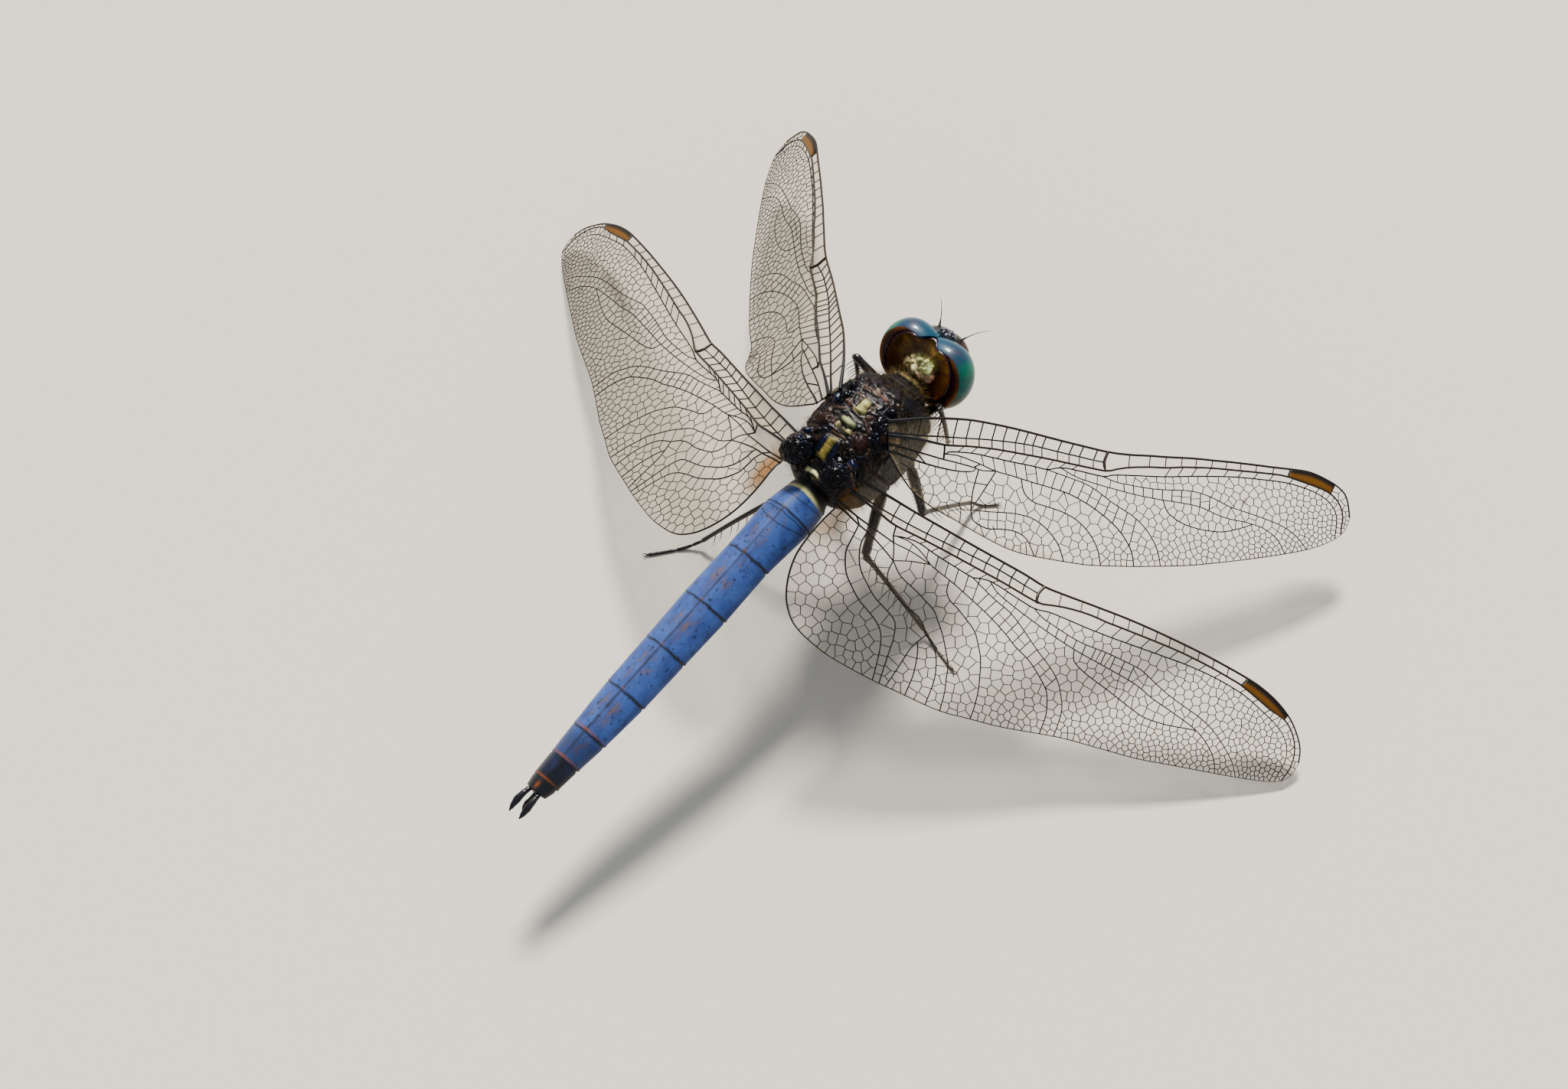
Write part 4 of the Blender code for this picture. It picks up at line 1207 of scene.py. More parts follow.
def abdomenTint(vert):
    distance, aside, below = abdomenSpot(vert.co)
    spot = Vector((distance, aside, below))
    look = abdomenLook
    cloud = noise.fractal(spot * Vector((0.9, 1.6, 1.6)), 1, 2, 4)
    grain = noise.fractal(spot * 9, 1, 2, 3)
    colour = blendColour(look["bloom"], look["deep"], 0.25 + cloud * 0.6 + 0.5 * smooth((below - 0.5) / 1.0))
    rough = 0.55
    colour = [c * (1 + 0.14 * grain) for c in colour]
    number = segmentAt(distance) + 1
    # Rubbed patches beside the keel, and specks where the bloom has gone.
    along = (distance - joints[number - 1]) / (joints[number] - joints[number - 1])
    if 3 <= number <= 8:
        rub = math.exp(-((abs(aside) - 0.45) ** 2) / 0.075) * math.exp(-((along - 0.45) ** 2) / 0.09)
        streaks = noise.fractal(spot * Vector((1.4, 6, 6)) + Vector((5, 5, 5)), 1, 2, 3)
        colour = blendColour(colour, look["bare"], rub * clamp(0.3 + cloud * 1.2 + streaks * 1.5) * 0.8)
    speck = noise.noise(spot * Vector((3.6, 7, 7)) + Vector((7, 3, 1)))
    colour = blendColour(colour, look["joint"], smooth((speck - 0.46) / 0.12) * 0.75)
    scratch = abs(noise.noise(spot * Vector((2.2, 7, 7)) + Vector((2, 9, 4))))
    colour = blendColour(colour, look["deep"], (1 - smooth(scratch / 0.03)) * 0.5 * smooth((cloud + 0.1) * 3))
    # The keel: a dark line down the middle, wider towards the tail.
    keel = bell(aside, 0.055 + 0.05 * clamp(distance / 18)) * smooth((0.5 - below) / 0.3)
    if distance > -1.5:
        colour = blendColour(colour, look["keel"], keel * (0.75 + 0.3 * cloud))
    near = jointNear(distance)
    gap = distance - joints[near]
    wobble = 0.02 * math.sin(aside * 6 + near)
    if distance > joints[7] - 0.4:
        dark = max(
            smooth((distance - joints[8] + 0.35) / 0.5), 0.55 * smooth((distance - joints[7] + 0.4) / 1.2)
        )
        bluish = 0.35 * clamp(0.5 + cloud) * smooth((joints[9] - distance) / 1.2)
        colour = blendColour(colour, blendColour(look["tail"], look["deep"], bluish), dark)
        rough = mix(rough, 0.36, dark)
    if 0 < near < segments:
        ring = bell(gap - 0.02 + wobble, mix(0.075, 0.12, smooth(-aside)))
        colour = blendColour(colour, look["joint"], ring)
        if near == 2:
            ring = bell(gap - 0.3 + wobble, 0.04)
            colour = blendColour(colour, look["joint"], ring * 0.9)
        if near >= 3:
            spread = 0.9 if near >= 7 else 0.012
            orange = bell(gap + 0.15, 0.07) * math.exp(-(aside**2) / spread)
            colour = blendColour(colour, look["ring"], orange * (0.9 if near >= 7 else 0.6))
    for carina in (-1.0, 1.1):
        colour = blendColour(
            colour, look["joint"], 0.85 * bell(distance - carina + 0.18 * aside * aside, 0.045)
        )
    if near >= 9 and distance > joints[9]:
        dash = bell(aside, 0.12) * bell(distance - 22.9, 0.25)
        colour = blendColour(colour, look["ring"], dash * smooth((0.4 - below) / 0.2))
    if distance < -1.55:
        first = smooth((-1.75 - distance) / 0.2)
        colour = blendColour(colour, look["first"], first)
        ringHere = bell(distance + 1.7, 0.16) * math.exp(-((aside / 1.35) ** 4))
        colour = blendColour(colour, look["mark"], ringHere)
    colour = blendColour(colour, look["belly"], smooth((below - 1.35) / 0.5) * 0.8)
    return withGloss(colour, rough)


columns, rows = ((640, 112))
abdomen = shell(
    "abdomenSkin", columns, rows, abdomenSurface, bloomMaterial,
    [f"abdomen_s{i}" for i in range(1, segments + 1)],
)
paint(abdomen, abdomenTint)

# Tail plates: two pointed cerci of black cuticle over a shorter blunt one.
tailMaterial = tinted("Tail cuticle", 0.008, 9000, coat=0.3, coatRoughness=0.15)
tailOutline = ((0, 0.0), (0.03, 0.7), (0.2, 0.75), (0.6, 1.0), (0.85, 0.62), (0.97, 0.22), (1, 0.0))
forward, up, tilt, left = abdomenFrame(joints[-1] - 0.12)
for name, aside, lift, length, girth, node in (
    ("cercus_left_plate", 0.36, -0.42, 1.95, 0.27, "cercus_left"),
    ("cercus_right_plate", -0.36, -0.42, 1.95, 0.27, "cercus_right"),
    ("epiproct_plate", 0.0, -0.95, 1.3, 0.34, "epiproct"),
):
    def tailSurface(s, t):
        grow = girth * table(s, tailOutline)
        angle = math.tau * t
        bend = 0.16 * math.sin(s * math.pi) * (1 if aside else -0.6)
        return place(
            forward - s * length * math.cos(tilt),
            left + aside * (1 + 0.28 * math.sin(s * math.pi * 0.8)) + math.cos(angle) * grow * 0.9,
            up + lift - s * length * math.sin(tilt) + bend + math.sin(angle) * grow * 0.8,
        )

    obj = shell(name, 40, 24, tailSurface, tailMaterial, [node], grained(0.012, 6))
    paint(obj, lambda vert: withGloss(linear("101116"), 0.28))
print("abdomen built")


# The head's own frame: forward, left and up in millimetres from its middle, tipped nose down.
headTurn = Matrix.Rotation(math.radians(28), 3, "Y")
headCentre = Vector((7.4, 0.08, -1.05))


def headPlace(forward, left, up):
    return place(*(headTurn @ Vector((forward, left, up)) + headCentre))


def headSpot(co):
    return headTurn.transposed() @ (Vector(bodySpot(co)) - headCentre)


# The mauve colour is a painted sheen.
eyeLook = {
    "front": linear("16505C"), "crown": linear("1C465C"), "mauveSheen": linear("443C50"),
    "emerald": linear("0C7456"), "low": linear("0A2119"),
    "olive": linear("4C4518"), "edge": linear("3E0F2E"), "flange": linear("2C120A"),
    "amber": linear("6E3E08"), "pupil": linear("040A09"), "facet": 42000,
}
# Compound eye: thousands of clear lenses over dark pigment, so a hard gloss lies over a deep colour.
eyeMaterial, eyeTree, eyeShader, _ = paintedMaterial(
    "Compound eye", Roughness=0.4, Coat_Weight=0.3, Coat_Roughness=0.1, Coat_IOR=1.4,
    Specular_IOR_Level=0.25,
)
eyeWhere = addNode(eyeTree, "ShaderNodeTexCoord").outputs["Object"]
eyeCells = addNode(eyeTree, "ShaderNodeTexVoronoi", {"Scale": eyeLook["facet"]}, {"Vector": eyeWhere})
eyeBump = addNode(
    eyeTree, "ShaderNodeBump", {"Strength": 0.4, "Distance": 0.003 * mm, "invert": True},
    {"Height": eyeCells.outputs["Distance"]},
)
eyeTree.links.new(eyeBump.outputs[0], eyeShader.inputs["Normal"])
# Half lengths of an eye (forward, outward, up) and inward, how far its middle is from the midline, and
# where its flat rear face is.
eyeSemi, eyeInner, eyeOffset, eyeRear = (1.76, 2.02, 2.3), 2.9, 1.42, -0.92


def rimForward(angle):
    # The rear rims of the eyes run forward to the place where they meet, at the top of the head.
    past = math.degrees(angle) - 90
    return eyeRear + 1.0 * smooth((past - 13) / 18) * (1 - smooth((past - 60) / 20))


def eyeTintAt(vert):
    f, l, u = headSpot(vert.co)
    l = abs(l)
    spot = Vector((f, l, u))
    out = Vector((f / eyeSemi[0], (l - eyeOffset) / eyeSemi[1], u / eyeSemi[2])).normalized()
    cloud = noise.fractal(spot * 1.4, 1, 2, 3)
    look = eyeLook
    colour = blendColour(look["crown"], look["front"], smooth((out.x + 0.1) / 0.6))
    colour = coats(
        colour,
        # The grey-mauve patch on the upper rear of each eye is a painted sheen over the eye's colour.
        (
            look["mauveSheen"],
            math.exp(-((out.y - 0.25) ** 2) / 0.09 - (out.x + 0.25) ** 2 / 0.12) * smooth(out.z / 0.3)
            * (0.6 + cloud),
        ),
        (
            look["emerald"],
            0.9 * math.exp(-((out.y - 0.8) ** 2) / 0.05) * smooth((out.z + 0.45) / 0.4)
            * (0.85 + 0.6 * cloud),
        ),
        (look["low"], smooth((0.05 - out.z) / 0.35) * 0.9),
        (look["olive"], smooth((-out.z - 0.35) / 0.35) * 0.8),
    )
    for y, z, size in ((0.62, 0.36, 0.13), (0.5, 0.1, 0.1), (0.3, 0.75, 0.08)):
        away = math.hypot(out.y - y, out.z - z) if out.x > -0.55 else farAway
        colour = blendColour(colour, look["pupil"], 0.85 * (1 - smooth((away / size - 0.4) / 0.9)))
    wide = eyeSemi[1] if l > eyeOffset else eyeInner
    share = math.hypot((l - eyeOffset) / wide, u / eyeSemi[2]) / math.sin(math.acos(eyeRear / eyeSemi[0]))
    rim = smooth((eyeRear + 0.055 - f) / 0.04) if share < 1.02 else 0
    ring = blendColour(
        look["flange"], look["amber"],
        smooth((share - 0.82) / 0.1) * smooth(out.y / 0.4 + 0.3) * (0.7 + cloud),
    )
    ring = blendColour(ring, look["edge"], 0.7 * bell(share - 0.76, 0.07) * (0.8 + cloud))
    return blendColour(colour, ring, rim)


for side, sign in sides.items():

    def eyeSurface(s, t):
        angle = math.tau * t
        cosine, sine = math.cos(angle), math.sin(angle)
        limit = math.acos(rimForward(angle) / eyeSemi[0])
        turn = limit * min(s / 0.84, 1)
        inward = clamp((s - 0.84) / 0.16)
        girth = math.sin(turn) * (1 - inward)
        f = eyeSemi[0] * math.cos(turn)
        if inward:
            # The rear face: a narrow flat ring, then a hollow that the back of the head lies in.
            ring = 0.07 + 0.31 * max(cosine, 0) ** 1.5
            f += 1.25 * smooth((inward - ring) / 0.3) - 0.05 * math.sin(math.pi * min(inward / ring, 1))
        l = eyeOffset + (eyeInner if cosine < 0 else eyeSemi[1]) * girth * cosine
        return headPlace(f, sign * max(l, 0.012), eyeSemi[2] * girth * sine)

    eye = shell(f"eyeball_{side}", 100, 140, eyeSurface, eyeMaterial, [f"eye_{side}"])
    paint(eye, eyeTintAt)

# Of the rear colours, deep serves as painted shadow and shade, and orange carries painted light on the right
# wall.
headLook = {
    "rear": linear("60401A"), "deep": linear("140A05"), "gold": linear("A88A3C"),
    "orange": linear("D07C10"), "red": linear("6A2C10"),
    "pale": linear("F0E4A8"), "green": linear("A8B85A"), "pink": linear("A8806C"), "rim": linear("341430"),
}
# Rear of the head: thin horny cuticle, a mottled brown with a soft shine.
rearMaterial = tinted("Rear of head cuticle", 0.012, 12000, coat=0.2, coatRoughness=0.3, specular=0.35)


def rearReach(angle):
    # How far the ridge of the rear plate stands out at this angle, inside the rims of both eyes and across
    # the dip between them.
    cosine, sine = abs(math.cos(angle)), math.sin(angle)
    wide, tall, offset = 1.42, (1.95 if sine > 0 else 1.78), 1.08
    a = (cosine / wide) ** 2 + (sine / tall) ** 2
    b = -2 * cosine * offset / wide**2
    c = (offset / wide) ** 2 - 1
    far = (-b + math.sqrt(max(b * b - 4 * a * c, 0))) / (2 * a)
    return max(far, 1 / math.hypot(cosine / 1.3, sine / (1.98 if sine > 0 else 1.6)))


def rearSurface(s, t):
    angle = math.tau * t
    reach = rearReach(angle)
    profile = (
        (0, 0.5, 0.0), (0.03, 0.5, 0.8), (0.07, 0.25, 0.98), (0.11, -0.03, 1.0), (0.15, -0.12, 0.975),
        (0.2, -0.06, 0.94), (0.3, 0.3, 0.88),
        (0.42, 0.62, 0.78), (0.55, 0.72, 0.64), (0.72, 0.7, 0.42), (0.88, 0.66, 0.2), (1, 0.64, 0.0),
    )
    f = table(s, [(at, value) for at, value, _ in profile])
    share = table(s, [(at, value) for at, _, value in profile])
    l, u = share * reach * math.cos(angle), share * reach * math.sin(angle)
    # The ridge runs forward between the eyes, and the neck joins on a lumpy boss.
    f += 0.8 * smooth((share - 0.62) / 0.38) * smooth(1 - abs(l) / 1.0) * smooth((u - 0.3) / 1.3)
    boss = smooth(1.25 - math.hypot((l + 0.05) / 0.98, (u + 0.1) / 0.85))
    lumps = 0.1 * noise.noise(Vector((l, u, 0)) * 3.4) + 0.05 * noise.noise(Vector((l, u, 5)) * 7)
    return headPlace(eyeRear + f - boss * (0.7 + lumps * 2.2), l, u)


def rearTint(vert):
    f, l, u = headSpot(vert.co)
    share = math.hypot(l, u) / rearReach(math.atan2(u, abs(l)))
    spot = Vector((f, l, u))
    streak = (
        0.3 * noise.fractal(Vector((math.atan2(u, l) * 9, share * 1.5, 3)), 1, 2, 3)
        + 0.6 * noise.noise(spot * 2.4)
    )
    cloud = noise.fractal(spot * 1.8, 1, 2, 3)
    look = headLook
    colour = blendColour(look["rear"], look["red"], smooth(0.3 + cloud * 1.6) * 0.8)
    colour = coats(
        colour,
        (
            look["gold"],
            0.75 * math.exp(-((share - 0.74) ** 2) / 0.03) * (0.5 + 1.2 * streak + cloud)
            * smooth((u + 0.7) / 0.9),
        ),
        # Orange on the right inner wall only: the wall's amber colour, with painted light where the sun falls
        # on it.
        (
            look["orange"],
            0.75 * math.exp(-((share - 0.84) ** 2) / 0.02) * smooth((-l - 0.5) / 0.8) * clamp(0.7 + streak),
        ),
        # A dark band across the upper hollow is a painted shadow, and the bottom is darkened as painted
        # shade.
        (
            look["deep"],
            0.85 * math.exp(-((share - 0.56) ** 2) / 0.008) * smooth((u + 0.5) / 0.4) * (0.8 + 1.5 * cloud),
        ),
        (look["deep"], 0.7 * smooth((-u - 0.9) / 0.6)),
        (look["rim"], smooth((share - 0.945) / 0.03)),
    )
    centre = 1 - smooth((math.hypot((l + 0.05) / 0.98, (u + 0.1) / 0.85) - 0.62) / 0.3)
    blotch = noise.fractal(spot * 3.6 + Vector((3, 1, 8)), 1, 2, 3)
    boss = blendColour(look["pale"], look["green"], smooth(0.4 + cloud * 2 + 0.5 * u))
    boss = blendColour(boss, look["pink"], smooth(blotch * 2.2 - 0.1))
    colour = blendColour(colour, boss, centre * clamp(1.0 + blotch * 1.2))
    return withGloss(colour, mix(0.5, 0.26, smooth((share - 0.9) / 0.06)))


rear = shell("headRear", 110, 150, rearSurface, rearMaterial, ["head"], grained(0.012, 4))
paint(rear, rearTint)

# Neck boss: one soft mass of pale lumps, where the neck joins the head.
# Blender's noise_vector isn't the same from one run to the next, so the lumps here and at the wing roots
# shift by about a tenth of a millimetre.
bossLook = {
    "middle": Vector((-0.02, -0.1, 0.1)), "half": Vector((0.66, 1.12, 0.74)), "swell": 0.3, "lump": 0.12,
    "crease": 0.09, "pitch": 0.5,
    "cream": linear("EADDA4"), "green": linear("B4C080"), "pink": linear("C09680"),
    "olive": linear("86764A"), "shadow": linear("30241A"),
}
neckBoss = bmesh.new()
neckShades = []
for vert in bmesh.ops.create_icosphere(neckBoss, subdivisions=6, radius=1)["verts"]:
    spot = Vector(c * half for c, half in zip(vert.co, bossLook["half"]))
    distances = noise.voronoi((spot + 0.12 * noise.noise_vector(spot * 2.5)) / bossLook["pitch"])[0]
    lump = smooth((distances[1] - distances[0]) / 0.5)
    rise = bossLook["swell"] * noise.noise(spot * 1.9 + Vector((3, 3, 3)))
    rise = rise + bossLook["lump"] * noise.noise(spot * 4.5) + bossLook["crease"] * lump
    f, l, u = spot + vert.co * rise
    mottle = noise.fractal(spot * 3, 1, 2, 3)
    colour = blendColour(bossLook["cream"], bossLook["green"], smooth((u - 0.5 * l - 0.2) / 0.4 + mottle))
    colour = coats(
        colour,
        (bossLook["pink"], smooth((-0.15 - u - 0.6 * l) / 0.4 + mottle)),
        (bossLook["olive"], smooth((l - 0.25 - 0.3 * u) / 0.5 + mottle) * 0.85),
    )
    neckShades.append(blendColour(colour, bossLook["shadow"], (1 - lump) * 0.4 + 0.3 * smooth(-mottle * 3)))
    vert.co = headPlace(*(Vector((eyeRear, 0, 0)) + bossLook["middle"] + Vector((f, l, u))))
bmesh.ops.recalc_face_normals(neckBoss, faces=neckBoss.faces)
neckUnwrap = neckBoss.loops.layers.uv.new("OFBake")
for face in neckBoss.faces:
    for loop in face.loops:
        _, l, u = headSpot(loop.vert.co)
        loop[neckUnwrap].uv = (clamp(0.5 + l / 4), clamp(0.5 + u / 4))
neck = newObject("neckBoss", neckBoss, rearMaterial)
paint(neck, lambda vert: withGloss(neckShades[vert.index], 0.55))

# Face: hard dark cuticle, polished like lacquer, with olive and brown patches.
faceLook = {
    "dark": linear("0C0A0C"), "brown": linear("3A2216"), "olive": linear("5E5028"), "red": linear("3E1A10")
}
faceMaterial = tinted("Face cuticle", 0.015, 8000, coat=0.3, coatRoughness=0.2)


def blob(
    name, centre, semi, material, replaces, colourAt, relief=None, columns=40, rows=56, power=2.0
):
    def surface(s, t):
        turn, angle = math.pi * s, math.tau * t
        girth = math.sin(turn) ** (2 / power) if 0 < s < 1 else 0.0
        along = math.copysign(abs(math.cos(turn)) ** (2 / power), math.cos(turn))
        return headPlace(
            centre[0] + semi[0] * girth * math.cos(angle), centre[1] + semi[1] * along,
            centre[2] + semi[2] * girth * math.sin(angle),
        )

    obj = shell(name, columns, rows, surface, material, replaces, relief)
    paint(obj, colourAt)
    return obj


def faceTint(vert):
    f, l, u = headSpot(vert.co)
    cloud = noise.fractal(Vector((f, l, u)) * 2.2, 1, 2, 3)
    colour = blendColour(faceLook["brown"], faceLook["dark"], smooth((u + 0.05) / 0.5) + cloud)
    colour = coats(
        colour,
        (faceLook["red"], 0.7 * smooth((abs(l) - 0.7) / 0.5) * smooth(u + 0.3)),
        (faceLook["olive"], 0.8 * math.exp(-((u + 0.45) ** 2) / 0.12) * (0.8 + cloud)),
        (faceLook["dark"], 0.9 * bell(u + 0.08 + 0.03 * l * l, 0.06)),
    )
    return withGloss(colour, 0.36)


def frontRelief(co, normal):
    f, l, u = headSpot(co)
    height = 0.03 * noise.noise(Vector((f, l, u)) * 3)
    height -= 0.12 * bell(l, 0.14) * smooth((u - 0.3) / 0.4)
    return height - 0.1 * bell(u + 0.08 + 0.03 * l * l, 0.08)


def mouthTint(vert):
    f, l, u = headSpot(vert.co)
    cloud = noise.fractal(Vector((f, l, u)) * 2.2, 1, 2, 3)
    colour = blendColour(faceLook["olive"], faceLook["brown"], 0.5 + cloud)
    for seam in (0.0, 0.95):
        colour = blendColour(colour, faceLook["dark"], bell(abs(l) - seam - 0.12 * (u + 1.5), 0.05))
    return withGloss(blendColour(colour, faceLook["dark"], bell(u + 1.15, 0.05) * smooth(f)), 0.4)


def mouthRelief(co, normal):
    f, l, u = headSpot(co)
    height = 0.03 * noise.noise(Vector((f, l, u)) * 3)
    for seam in (0.0, 0.95):
        height -= 0.1 * bell(abs(l) - seam - 0.12 * (u + 1.5), 0.06)
    return height - 0.08 * bell(u + 1.15, 0.06) * smooth(f)


def darkTint(vert):
    f, l, u = headSpot(vert.co)
    return withGloss(
        blendColour(faceLook["dark"], linear("232A38"), 0.5 + noise.noise(Vector((f, l, u)) * 4)), 0.22
    )


def tubercleRelief(co, normal):
    # Two low humps with a groove between them.
    groove = bell(headSpot(co)[1] + 0.05, 0.15) * smooth(normal.z)
    return -0.14 * groove + 0.03 * noise.noise(co / mm * 5)


blob(
    "frons", (1.5, -0.05, 0.8), (1.15, 1.72, 1.12), faceMaterial, ["face"], faceTint, frontRelief,
    60, 80, 2.3,
)
blob(
    "clypeus", (1.3, 0, -0.5), (0.92, 1.5, 0.66), faceMaterial, [], faceTint, frontRelief, 60, 70,
    2.3,
)
blob(
    "jaws", (0.75, 0, -1.5), (1.15, 1.5, 0.8), faceMaterial, ["mouth"], mouthTint, mouthRelief, 70,
    80, 2.2,
)
blob(
    "tubercle", (1.22, -0.05, 1.56), (0.62, 0.78, 0.62), faceMaterial, ["vertex"], darkTint,
    tubercleRelief,
)
# Ocelli: three glossy beads on the tubercle.
ocellusMaterial = newMaterial("Ocellus lens", Base_Color=linear("28313C"), Roughness=0.08, Coat_Weight=1.0)[0]
beads = bmesh.new()
for f, l, u, size in ((1.74, -0.05, 1.86, 0.13), (1.1, 0.42, 2.02, 0.11), (1.1, -0.52, 2.02, 0.11)):
    bmesh.ops.create_uvsphere(
        beads, u_segments=20, v_segments=12, radius=size * mm,
        matrix=Matrix.Translation(headPlace(f, l, u)),
    )
newObject("ocelli", beads, ocellusMaterial)

# Wing roots: at each a mound of small dark plates that the veins grow from, with orange skin outside.
rootLook = {
    # Middle of the mound (along the wing, across it, up) and its half lengths.
    "fore": ((-0.95, 0.95, -0.12), (0.85, 1.2, 0.45)), "hind": ((-1.15, 0.5, -0.75), (1.05, 1.1, 0.82)),
    # The crease colour is painted shade, for the creases between the lumps of a mound.
    "pitch": 0.46, "height": 0.12, "skin": linear("6A320A"), "crease": linear("050406"),
    "colours": linears("0A0C18 0B1026 08080C 16101A 0A0A12 2A1810 0A0E26 4A362C 101430"),
}
for kind in ("fore", "hind"):
    middle, semi = (Vector(numbers) for numbers in rootLook[kind])
    for side in sides:
        bm = bmesh.new()
        shades = []
        for vert in bmesh.ops.create_icosphere(bm, subdivisions=6, radius=1)["verts"]:
            spot = Vector(c * half for c, half in zip(vert.co, semi))
            warped = (
                spot + 0.22 * noise.noise_vector(spot * 1.6 + middle) + 0.07 * noise.noise_vector(spot * 5)
            )
            distances, cells = noise.voronoi(
                Vector((warped.x * 1.3, warped.y * 0.75, warped.z)) / rootLook["pitch"] + middle * 3
            )
            lump = smooth((distances[1] - distances[0]) / 0.38) * (0.75 + 0.5 * noise.noise(spot * 4))
            scramble = abs(cells[0].x * 7.3 + cells[0].y * 5.1 + cells[0].z * 3.7) * 10
            pick = int(scramble) % len(rootLook["colours"])
            # Between the lumps the colour goes to the crease colour: painted shade in the creases.
            shade = blendColour(rootLook["crease"], rootLook["colours"][pick], lump)
            spot = (
                middle + spot * (1 + 0.22 * noise.noise(spot * 1.4 + middle))
                + vert.co * lump * rootLook["height"]
            )
            skin = (
                smooth((spot.x + 0.62) / 0.25) * smooth((noise.noise(spot * 2 + middle) + 0.25) * 3)
                * smooth((spot.y - 0.7) / 0.5)
            )
            shades.append(blendColour(shade, rootLook["skin"], skin))
            vert.co = wingPoint(wings[kind], side, *spot)
        bmesh.ops.recalc_face_normals(bm, faces=bm.faces)
        root = newObject(f"root_{kind}_{side}", bm, thoraxMaterial)
        paint(root, lambda vert: withGloss(shades[vert.index], 0.26))

# Feelers: two thick joints, then a bristle.
feelerTaper = ((0, 0.14), (0.12, 0.13), (0.16, 0.07), (0.24, 0.065), (0.27, 0.035), (1, 0.012))
# Leg cuticle: black and hard, with a wet gloss along its edges.
legMaterial = tinted("Leg cuticle", 0.006, 12000, coat=0.35, coatRoughness=0.18)
for side, sign in sides.items():
    path = [
        (1.5, 0.8, 1.6), (1.66, 0.92, 1.86), (1.88, 1.1, 2.12), (2.2, 1.42, 2.5), (2.5, 1.78, 2.8),
        (2.75, 2.1, 2.98),
    ]
    points = smoothLine([headPlace(f, sign * l, u) for f, l, u in path], 0.12 * mm)
    count = len(points) - 1
    radii = [table(i / count, feelerTaper) * mm for i in range(count + 1)]
    antenna = tubes(f"feeler_{side}", [(points, radii)], legMaterial, 2)
    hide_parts(f"antenna_{side}")
    paint(antenna, lambda vert: withGloss(linear("17120F"), 0.35))
print("head built")

# Legs: the joints of each as (forward, left, up), from the hip to the claw.
floorUp = -rootHeight
legJoints = {
    "fore_left": ((5.3, 0.9, -4.1), (5.5, 4.55, -2.3), (5.3, 4.1, -5.6), (6.2, 3.4, -7)),
    "fore_right": ((5.3, -0.9, -4.1), (5.5, -2.6, -1.3), (5.4, -3.4, -4.6), (6.3, -2.9, -6)),
    "mid_left": ((3.7, 1.3, -5.6), (3.2, 4.2, -9.2), (7.3, 4.6, floorUp + 0.6), (8.9, 5.9, floorUp)),
    "mid_right": ((3.7, -1.3, -5.6), (2.6, -3.7, -9.5), (7.2, -4.2, floorUp + 0.6), (8.6, -5.6, floorUp)),
    "hind_left": ((1.9, 1.3, -6), (-2.9, 3.6, -8.1), (-7, 7.7, floorUp + 0.6), (-10.4, 10.35, floorUp)),
    "hind_right": ((1.9, -1.3, -6), (-2.9, -3.5, -8.1), (-2.4, -8.1, floorUp + 0.6), (-3.4, -11.8, floorUp)),
}
